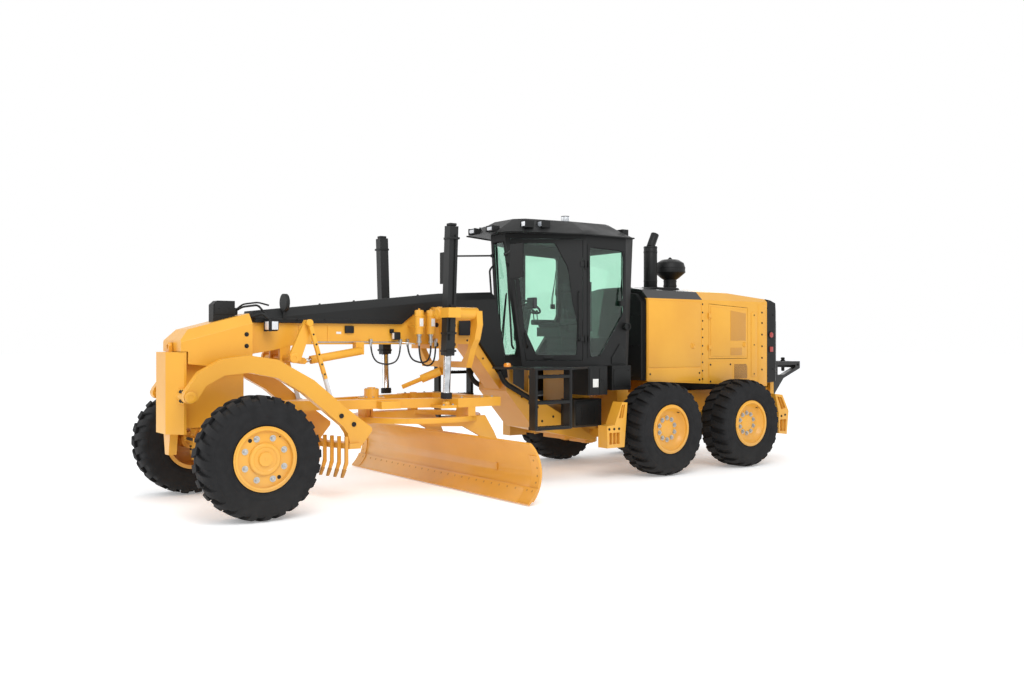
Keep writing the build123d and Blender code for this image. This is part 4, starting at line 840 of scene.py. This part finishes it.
# Exhaust and air cleaner: black steel. The exhaust has a flange, a clamp and stiffening rings. The
# cleaner's bowl has a clamp round its neck, a lipped rim and a small knob.
def round_a(x, other, radius, count, first=0.0):
    """Places on a circle round a middle, the first one a share of their pitch further on."""
    turns = [2 * pi * (number + first) / count for number in range(count)]
    return [(x + radius * cos(turn), other + radius * sin(turn)) for turn in turns]


exhaust_station, cleaner_station = -6.2, -6.59
bm = bmesh.new()
for z, radius, height in ((2.4665, 0.118, 0.012), (2.56, 0.0985, 0.016), (2.97, 0.099, 0.02),
                          (3.035, 0.0985, 0.014)):
    add_turned(bm, (exhaust_station, 0, z), up,
               [(0.0951, 0), (radius - 0.003, 0), (radius, 0.003), (radius, height - 0.003),
                (radius - 0.003, height), (0.0951, height)], 40)
for z, inner, radius, height in ((2.5, 0.0921, 0.098, 0.02), (2.57, 0.0921, 0.096, 0.012),
                                 (2.705, 0.2171, 0.222, 0.012), (2.765, 0.2171, 0.221, 0.008)):
    add_turned(bm, (cleaner_station, 0, z),
               up, [(inner, 0), (radius, 0.001), (radius, height - 0.001), (inner, height)], 48)
add_turned(bm, (cleaner_station, 0, 2.903),
           up, [(0.03, 0), (0.03, 0.006), (0.018, 0.009), (0.014, 0.02), (0, 0.022)], 20)
for x, y in round_a(exhaust_station, 0, 0.108, 10):
    add_bolts(bm, [(x, y, 2.4785)], up, 0.01)
finished("stack_fittings", bm, "rear_frame_body", black_enamel)


# Rear grille and tow hitch: black corners with tail lamps in both sides, slats and three bars over
# the openings, and the steel tow pin with its knob.
rear_paint = two_tone("rear_paint", black_pair, yellow_pair, (("X", -4.06),), 0.38)
soften("rear_frame", rear_paint)
tow_pin_station = -9.12
bm, lens_bm = bmesh.new(), bmesh.new()
for number in range(8):
    z = 1.2725 + 0.105 * number
    add_block(bm, (-8.462, -8.44), (-0.365, 0.365), (z + 0.0225, z + 0.0375), 0.003)
for y in (-0.37, 0.0, 0.37):
    add_block(bm, (-8.478, -8.452), (y - 0.014, y + 0.014), (1.22, 2.02), 0.005)
red_lens = toned("red_lens", "8f1712", "b02018", 0.12, coat=0.7, scale=60.0)
for side in (1, -1):
    out = (0, side, 0)
    add_turned(bm, (-8.02, side * 0.655, 1.806),
               out, [(0.052, 0), (0.052, 0.012), (0.044, 0.014), (0.043, 0.004), (0, 0.004)])
    add_turned(lens_bm, (-8.02, side * 0.6595, 1.806),
               out, [(0.042, 0), (0.041, 0.008), (0.03, 0.012), (0, 0.013)])
    add_block(bm, (-8.065, -7.975), both_ways(side, 0.655, 0.664), (1.55, 1.64), 0.004)
    add_block(lens_bm, (-8.057, -7.983), both_ways(side, 0.6642, 0.669), (1.558, 1.632), 0.003)
    add_side_bolts(bm, side, 0.655, ((-7.95, 1.2), (-7.95, 2.2), (-8.07, 1.3), (-8.07, 2.1)), 0.014)
add_turned(bm, (tow_pin_station, 0, 1.4), up,
           [(0.038, 0), (0.038, 0.012), (0.027, 0.016), (0.027, 0.03), (0.034, 0.04), (0.03, 0.054),
            (0, 0.06)], 24)
add_turned(bm, (tow_pin_station, 0, 1.235), up, [(0, 0), (0.022, 0.006), (0.0265, 0.014), (0.0265, 0.17)],
           24)
for side in (1, -1):
    add_side_bolts(bm, side, 0.3, ((-8.4, 0.96), (-8.4, 1.06), (-8.53, 1.3), (-9.11, 1.345)), 0.022)
finished("rear_fittings", bm, "rear_frame_body", moulding)
finished("tail_lamp_glasses", lens_bm, "rear_frame_body", red_lens)


# Tandem cases and guards: a bolted round cover on each case, a filler plug, and the guards' plates
# with the bars that part their slots. Cast and bent steel in the machine's yellow.
tandem_middle = -6.123
cover_face = 0.795
cover_bolts = 12
bm, bolts = bmesh.new(), bmesh.new()
for side in (1, -1):
    out = (0, side, 0)
    add_turned(bm, (tandem_middle, side * cover_face, axle_height), out,
               [(0.205, 0), (0.205, 0.01), (0.197, 0.014), (0.12, 0.014), (0.11, 0.022), (0.05, 0.022),
                (0.046, 0.018), (0, 0.018)], 64)
    for x, z in round_a(tandem_middle, axle_height, 0.182, cover_bolts):
        add_bolts(bolts, [(x, side * (cover_face + 0.014), z)], out, 0.018)
    add_turned(bolts, (tandem_middle, side * cover_face, 0.79), out, cap_profile(0.018, 0.014, 0.003), 12)
    for slot_bar in (
        [(-4.632, 0.755), (-4.64, 0.755), (-4.684, 0.93), (-4.675, 0.93)],
        rectangle((-4.489, -4.499), (0.44, 0.59)),
        rectangle((-4.549, -4.559), (0.44, 0.59)),
        [(-7.651, 0.93), (-7.661, 0.928), (-7.752, 0.752), (-7.742, 0.752)],
        [(-7.731, 0.43), (-7.741, 0.43), (-7.746, 0.604), (-7.736, 0.604)],
    ):
        add_side_plate(bm, slot_bar, side, 1.06, 1.0995, 0.001)
    add_side_bolts(bolts, side, 1.1, product((-4.44, -4.52, -4.6), (0.632,)), 0.018)
    add_side_bolts(bolts, side, 1.1, ((-7.7, 0.65), (-7.78, 0.665)), 0.018)
finished("tandem_fittings", bm, "rear_frame_body", yellow_enamel)
finished("tandem_bolts", bolts, "rear_frame_body", black_oxide)


# Blade fittings: the cutting edge and end bits are bolted to the rolled sheet with flush square-
# necked bolts, whose low heads show on the face. Each end bit is a plate up the blade's corner.
blade_curve = (-2.267, 0, 0.33)
edge_bit_face, corner_bit_face = 0.3895, 0.4055


def add_strip(bm, radius, depth, y, arc):
    """A strip of the blade's curve, between two distances from the middle and two angles."""
    part = bmesh.new()
    start = at(*blade_curve)
    corners = [(start.x - reach, across, start.z) for reach in (radius, radius + depth) for across in y]
    found = [part.verts.new(corner) for corner in corners]
    face = part.faces.new((found[0], found[1], found[3], found[2]))
    bmesh.ops.rotate(part, cent=start, matrix=Matrix.Rotation(radians(arc[0]), 3, "Y"),
                     verts=part.verts)
    bmesh.ops.spin(part, geom=[face], cent=start, axis=(0, 1, 0), angle=radians(arc[1] - arc[0]),
                   steps=18)
    bmesh.ops.holes_fill(part, edges=[edge for edge in part.edges if edge.is_boundary])
    bmesh.ops.remove_doubles(part, verts=part.verts, dist=0.00002)
    merge_in(bm, part)


def add_blade_bolt(bm, angle, y, radius):
    """A bolt's low head on the hollow face, by degrees above the level of the curve's centre."""
    turn = radians(angle)
    spot = (blade_curve[0] - radius * cos(turn), y, blade_curve[2] + radius * sin(turn))
    head = [(0.013, 0), (0.012, 0.0015), (0.007, 0.0028), (0, 0.003)]
    add_turned(bm, spot, (cos(turn), 0, -sin(turn)), head, 12)


bm = bmesh.new()
for side in (1, -1):
    add_strip(bm, edge_bit_face, 0.0048, both_ways(side, 1.8, 2.0095), (-49.0, -22.5))
    add_strip(bm, corner_bit_face, 0.0072, both_ways(side, 1.86, 2.0035), (-21.5, 27.0))
finished("end_bits", bm, "blade", worn_yellow)
plow_bolt = toned("plow_bolt", "a87432", "c08a3e", 0.4, metallic=0.3, scale=40.0)
bm = bmesh.new()
for number in range(23):
    add_blade_bolt(bm, -28, -1.65 + 0.15 * number, 0.3947)
for side in (1, -1):
    for y in (1.86, 1.95):
        add_blade_bolt(bm, -28, side * y, edge_bit_face)
    for angle, y in ((-14, 1.95), (-4, 1.96), (8, 1.96), (19, 1.92)):
        add_blade_bolt(bm, angle, side * y, corner_bit_face)
finished("edge_bolts", bm, "blade", plow_bolt)


# Drawbar and circle fittings: the cover and flange of the circle's motor, bolts along the side
# beams, caps on the blade's tip pins and rubber boots on the lift cylinders' feet.
motor_station = -1.765
lift_station, lift_lean = -2.34, 0.058
boot_folds = [(0.0602, 0.0), (0.066, 0.004), (0.062, 0.013), (0.067, 0.022), (0.062, 0.032), (0.067, 0.042),
              (0.062, 0.051), (0.065, 0.06), (0.06, 0.0685), (0.04, 0.0688)]
bm, bolts = bmesh.new(), bmesh.new()
add_turned(bm, (motor_station, 0, 1.15), up, [(0.085, 0), (0.085, 0.012), (0.075, 0.016), (0.05, 0.016),
                                              (0.046, 0.03), (0.02, 0.032), (0, 0.032)], 40)
add_turned(bm, (motor_station, 0, 1.04),
           up, [(0.0852, 0), (0.15, 0), (0.152, 0.004), (0.152, 0.02), (0.145, 0.028), (0.0852, 0.03)], 48)
for radius, z, across in ((0.125, 1.068, 0.018), (0.066, 1.166, 0.01)):
    for x, y in round_a(motor_station, 0, radius, 10):
        add_bolts(bolts, [(x, y, z)], up, across)
for side in (1, -1):
    add_bolts(bolts, [(x, side * 0.655, 1.06) for x in (-2.58, -2.86, -3.0)], up, 0.022)
    add_bolts(bolts, [(x, side * 0.745, 0.99) for x in (-2.28, -2.4)], up, 0.022)
finished("drawbar_fittings", bm, "drawbar", yellow_enamel)
finished("drawbar_bolts", bolts, "drawbar", zinc_plate)
bm = bmesh.new()
for side_name, side in sides:
    boot = bmesh.new()
    foot = (lift_station, side * 0.7036, 1.062)
    add_turned(boot, foot, (0, side * lift_lean, 1), boot_folds)
    finished(f"{side_name}_lift_boot", boot, f"{side_name}_lift_rod", seal_rubber)
    add_turned(bm, (-2.9, side * 0.64, 0.25), (0, side, 0), cap_profile(0.042, 0.012))
finished("tip_pin_caps", bm, "blade_carriage", yellow_enamel)


# Scarifier fittings: rows of holes in the lift links, drawn as black discs of painted shade, polished
# rod below them, pin caps, and a hardened pointed tip on every tooth.
arm_pin_places = ((-1.109, 0.913), (-1.255, 0.817))
arm_face = 0.5702
link_paint = two_tone("link_paint", ("c4c8cc", "dadde0"), yellow_pair, (("Z", 1.36),), 0.2, 0.0)
soften("scarifier_links", link_paint, 0.003)
bm, plates, tips = bmesh.new(), bmesh.new(), bmesh.new()
link_top, link_foot = Vector((-0.8, 0, 1.905)), Vector((-1.07, 0, 1.02))
slope = (link_top - link_foot).normalized()
across = Vector((slope.z, 0, -slope.x)) * 0.02
for side in (1, -1):
    for share in (0.38, 0.5, 0.62, 0.74, 0.86):
        spot = link_foot.lerp(link_top, share)
        add_turned(bm, (spot.x, side * 0.4645, spot.z), (0, side, 0),
                   [(0.011, 0), (0.011, 0.002), (0.008, 0.0025), (0, 0.0015)], 14)
    low, high = both_ways(side, 0.4642, 0.4648)
    top, foot = link_top - slope * 0.04, link_foot + slope * 0.3
    corners = [(p.x, p.z) for p in (top + across, top - across, foot - across, foot + across)]
    add_plate(plates, corners, "Y", low - 0.004, high, 0.001)
    add_turned(plates, (link_foot.x, side * 0.4641, link_foot.z), (0, side, 0),
               cap_profile(0.03, 0.005, 0.002), 20)
# Black discs where the links' holes are: painted shade standing in for the holes.
finished("link_hole_shade", bm, "scarifier_links", black_oxide)
finished("link_plates", plates, "scarifier_links", yellow_enamel)
tooth_count, tooth_pitch = 11, 0.116
for number in range(tooth_count):
    y = (number - tooth_count // 2) * tooth_pitch
    x = -1.0397 - 0.25 * abs(y) + (0.004 if y else 0)
    outline = [(x + 0.083, 0.2552), (x + 0.057, 0.2552), (x + 0.022, 0.335), (x + 0.06, 0.345)]
    add_plate(tips, outline, "Y", y - 0.017, y + 0.017, 0.003)
finished("tooth_tips", tips, "scarifier", plow_bolt)
bm = bmesh.new()
for side in (1, -1):
    for x, z in arm_pin_places:
        add_turned(bm, (x, side * arm_face, z), (0, side, 0), cap_profile(0.026, 0.012, 0.004), 20)
finished("arm_pins", bm, "scarifier", black_oxide)


# Wheel nuts and rims: eight plated nuts and two jacking holes on the front discs, the holes drawn
# as thin dark discs of painted shade, ten nuts round the hub of the rear ones, whose dished discs sit
# inside their rims, a lock ring seated in every rim and a valve stem.
wheel_middle = 1.045
dish = [(0.2705, 0.168), (0.2705, 0.178), (0.262, 0.174), (0.236, 0.128), (0.222, 0.117), (0.205, 0.112),
        (0.17, 0.112), (0.166, 0.117), (0.112, 0.117), (0.108, 0.124), (0.1, 0.128), (0.03, 0.128),
        (0.026, 0.124), (0.0, 0.124)]
hub_cap = [(0.014, 0.212), (0.014, 0.214), (0.01, 0.2155), (0, 0.2155)]
stud = [(0.009, 0), (0.009, 0.01), (0.006, 0.012), (0, 0.012)]
lock_ring = [(0.2712, 0.202), (0.2712, 0.208), (0.276, 0.2115), (0.291, 0.2115), (0.296, 0.208),
             (0.296, 0.202)]
for axle, count, circle_radius, face, disc in (
    ("front", 8, 0.208, 0.175, hub_cap), ("middle", 10, 0.139, 0.1172, dish),
    ("rear", 10, 0.139, 0.1172, dish),
):
    for side_name, side in sides:
        station, out = axle_stations[axle], (0, side, 0)
        middle = (station, side * wheel_middle, axle_height)
        nuts, ring, dark = bmesh.new(), bmesh.new(), bmesh.new()
        for x, z in round_a(station, axle_height, circle_radius, count, 0.5):
            add_bolts(nuts, [(x, side * (wheel_middle + face), z)], out, 0.034)
            add_turned(nuts, (x, side * (wheel_middle + face + 0.022), z), out, stud, 12)
        add_turned(ring, middle, out, lock_ring, 72)
        add_turned(ring, middle, out, disc, 64)
        # Jacking holes: thin dark discs on the disc face, painted shade where the holes go through.
        for turn in (0.9, 0.9 + pi) if axle == "front" else ():
            spot = (station + 0.23 * cos(turn), side * 1.2203, axle_height + 0.23 * sin(turn))
            add_turned(dark, spot, out, [(0.02, 0), (0.018, 0.002), (0.016, 0.0005), (0, 0.0005)], 20)
        stem = (station + 0.252 * cos(2.2), side * 1.2, axle_height + 0.252 * sin(2.2))
        add_turned(dark, stem, out,
                   [(0.006, -0.02), (0.006, 0.02), (0.004, 0.024), (0.004, 0.04), (0, 0.042)], 10)
        body = f"{axle}_{side_name}_wheel"
        finished(f"{axle}_{side_name}_nuts", nuts, body, zinc_plate)
        finished(f"{axle}_{side_name}_disc", ring, body, yellow_enamel)
        finished(f"{axle}_{side_name}_stem", dark, body, black_oxide)


# Hydraulic pipes and hoses: black pipes clipped along the lift sleeves, plated pipes along the
# beam, and black rubber hoses that hang in loops under the beam and from the bottles to the saddle.
def sleeve_middle(height):
    """How far the leaning lift sleeve stands from the machine's middle at a height."""
    return 0.7 + lift_lean * (height - 1.0)


bm = bmesh.new()
for side in (1, -1):
    for offset, top in ((-0.02, 2.9), (0.02, 1.72)):
        add_pipe(bm, [(lift_station + offset, side * (sleeve_middle(z) + 0.068), z)
                      for z in (2.12, top)], 0.008)
finished("lift_pipes", bm, "front_frame_body", black_enamel)
bm = bmesh.new()
for side in (1, -1):
    for z in (1.6, 1.8, 2.86):
        y = sleeve_middle(z)
        add_block(bm, (-2.403, -2.277), both_ways(side, y - 0.064, y + 0.082), (z - 0.012, z + 0.012),
                  0.003)
    add_block(bm, (-2.385, -2.295), both_ways(side, 0.775, 0.858), (2.9995, 3.03), 0.008)
finished("lift_clamps", bm, "front_frame_body", black_enamel)
bm = bmesh.new()
for y, z in ((-0.166, 1.72), (-0.166, 1.74), (0.166, 1.7)):
    add_pipe(bm, [(-0.95, y, z), (-2.02, y, z), (-2.2, y * 1.5, z - 0.02)], 0.007, 0.04)
finished("beam_pipes", bm, "front_frame_body", zinc_plate)
hose_rubber = toned("hose_rubber", "121213", "1a1a1b", 0.6, scale=70.0, grain=0.15)


def add_hose(name, points, radius):
    """A rubber hose that hangs between two fittings, drawn by its control points."""
    line = bpy.data.curves.new(name, "CURVE")
    line.dimensions = "3D"
    line.bevel_depth = radius
    line.bevel_resolution = 4
    line.use_fill_caps = True
    line.resolution_u = 16
    spline = line.splines.new("NURBS")
    spline.points.add(len(points) - 1)
    for control, spot in zip(spline.points, points):
        control.co = (*at(*spot), 1)
    spline.order_u = 3
    spline.use_endpoint_u = True
    line.materials.append(hose_rubber)
    hose = bpy.data.objects.new(name, line)
    scene.collection.objects.link(hose)
    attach(hose, "front_frame_body")


hose_runs = (
    ("beam_hose", 0.009, (-1.66, 0.185, 1.7), (-1.66, 0.19, 1.5), (-1.86, 0.2, 1.43),
     (-2.04, 0.19, 1.5), (-2.04, 0.185, 1.7)),
    ("bottle_hose_front", 0.01, (-2.165, 0.4, 1.66), (-2.165, 0.41, 1.47), (-2.31, 0.37, 1.41),
     (-2.46, 0.28, 1.5), (-2.46, 0.275, 1.7)),
    ("bottle_hose_rear", 0.01, (-2.32, 0.4, 1.66), (-2.32, 0.4, 1.5), (-2.24, 0.32, 1.45),
     (-2.135, 0.2, 1.52), (-2.135, 0.185, 1.7)),
)
for name, radius, *points in hose_runs:
    add_hose(name, points, radius)
bm = bmesh.new()
for x in (-1.66, -2.04, -2.135):
    add_block(bm, (x - 0.016, x + 0.016), (beam_side, 0.203), (1.6995, 1.735), 0.004)
add_block(bm, (-2.478, -2.442), (0.2502, 0.295), (1.6995, 1.74), 0.004)
for x, y, radius in (
    (-1.66, 0.185, 0.009), (-2.04, 0.185, 0.009), (-2.46, 0.275, 0.01), (-2.135, 0.185, 0.01),
):
    skirt, nut = radius + 0.004, radius + 0.007
    fitting = [(radius + 0.0002, 0.05), (skirt, 0.048), (skirt, 0.02), (nut, 0.018), (nut, 0)]
    add_turned(bm, (x, y, 1.6995), (0, 0, -1), fitting, 6)
finished("hose_fittings", bm, "front_frame_body", zinc_plate)


# Tyres: six of one size, black rubber. The carcass is one turned section with bead and wear lines
# on its sidewalls, and 24 slanted lugs stand on each shoulder, staggered by half a pitch.
tyre_rubber, tree, shader, coords = finish_of("tyre_rubber", 0.8, sheen=0.2)
tone = shades(tree, noise_on(tree, coords, 11.0), "1c1c1d", "242425")
dusty = low_dust(tree, coords, tone, "3a3733", 0.4)
tint(tree, shader, dusty)
rough_between(tree, shader, noise_on(tree, coords, 5.0), 0.68, 0.88)
roughen(tree, shader, noise_on(tree, coords, 90.0), 0.12)
tyre_section = [
    (0.294, 0.17), (0.297, 0.181), (0.314, 0.19), (0.322, 0.199), (0.334, 0.207), (0.339, 0.2055),
    (0.344, 0.2095), (0.385, 0.2155), (0.388, 0.2145), (0.391, 0.2158), (0.43, 0.2184),
    (0.47, 0.2194), (0.494, 0.2194), (0.497, 0.2182), (0.5, 0.2192), (0.522, 0.2168),
    (0.54, 0.2085), (0.552, 0.19), (0.558, 0.15), (0.561, 0.08), (0.562, 0.0),
]
lug_section = [
    (0.006, 0.556), (0.006, 0.5955), (0.07, 0.5955), (0.128, 0.5935), (0.172, 0.582),
    (0.204, 0.565), (0.2165, 0.542), (0.2185, 0.508), (0.212, 0.508), (0.196, 0.544),
]
lug_count = 24
lug_width = 0.076
lug_slant = 0.22
lug_foot, lug_root = 0.507, 0.54
bend_radius = 0.57
tread_top = 0.5958


def add_lug(bm, turn, side):
    """One lug: its outline across the tread, as wide as the lug, slanted and bent round the tyre."""
    lug = bmesh.new()
    thicken(lug, [(-lug_width / 2, y, radius) for y, radius in lug_section], (lug_width, 0, 0))
    ease(lug, [edge for edge in lug.edges if all(vert.co.z > lug_foot for vert in edge.verts)], 0.004)
    for vert in lug.verts:
        narrowing = 1 - 0.5 * (vert.co.z - lug_root)
        angle = (vert.co.x * narrowing + lug_slant * (vert.co.y - 0.1)) / bend_radius
        radius = min(vert.co.z, tread_top)
        vert.co = (radius * sin(angle), vert.co.y, radius * cos(angle))
    if side < 0:
        bmesh.ops.scale(lug, vec=(1, -1, 1), verts=lug.verts)
    merge_in(bm, lug, Matrix.Translation(at(0, 0, 0)) @ Matrix.Rotation(turn, 4, "Y"))


tyre_bm = bmesh.new()
far_side = [(radius, -y) for radius, y in reversed(tyre_section[:-1])]
add_turned(tyre_bm, (0, 0, 0), (0, 1, 0), tyre_section + far_side, 96)
for number in range(lug_count):
    add_lug(tyre_bm, 2 * pi * number / lug_count, 1)
    add_lug(tyre_bm, 2 * pi * (number + 0.5) / lug_count, -1)
tyre_mesh = bpy.data.meshes.new("tyre_pattern")
tyre_bm.to_mesh(tyre_mesh)
tyre_bm.free()
for axle, station in axle_stations.items():
    for side_name, side in sides:
        bm = bmesh.new()
        bm.from_mesh(tyre_mesh)
        if side < 0:
            half_turn = Matrix.Rotation(pi, 3, "Z")
            bmesh.ops.rotate(bm, cent=at(0, 0, 0), matrix=half_turn, verts=bm.verts)
        place = (station, side * wheel_middle, axle_height)
        bmesh.ops.translate(bm, vec=place, verts=bm.verts)
        wheel = f"{axle}_{side_name}"
        tyre = finished(f"{wheel}_treaded_tyre", bm, f"{wheel}_wheel", tyre_rubber)
        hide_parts(f"{wheel}_tyre")
for axle in axle_stations:
    for side_name, side in sides:
        soften(f"{axle}_{side_name}_rim", yellow_enamel, 0.004)
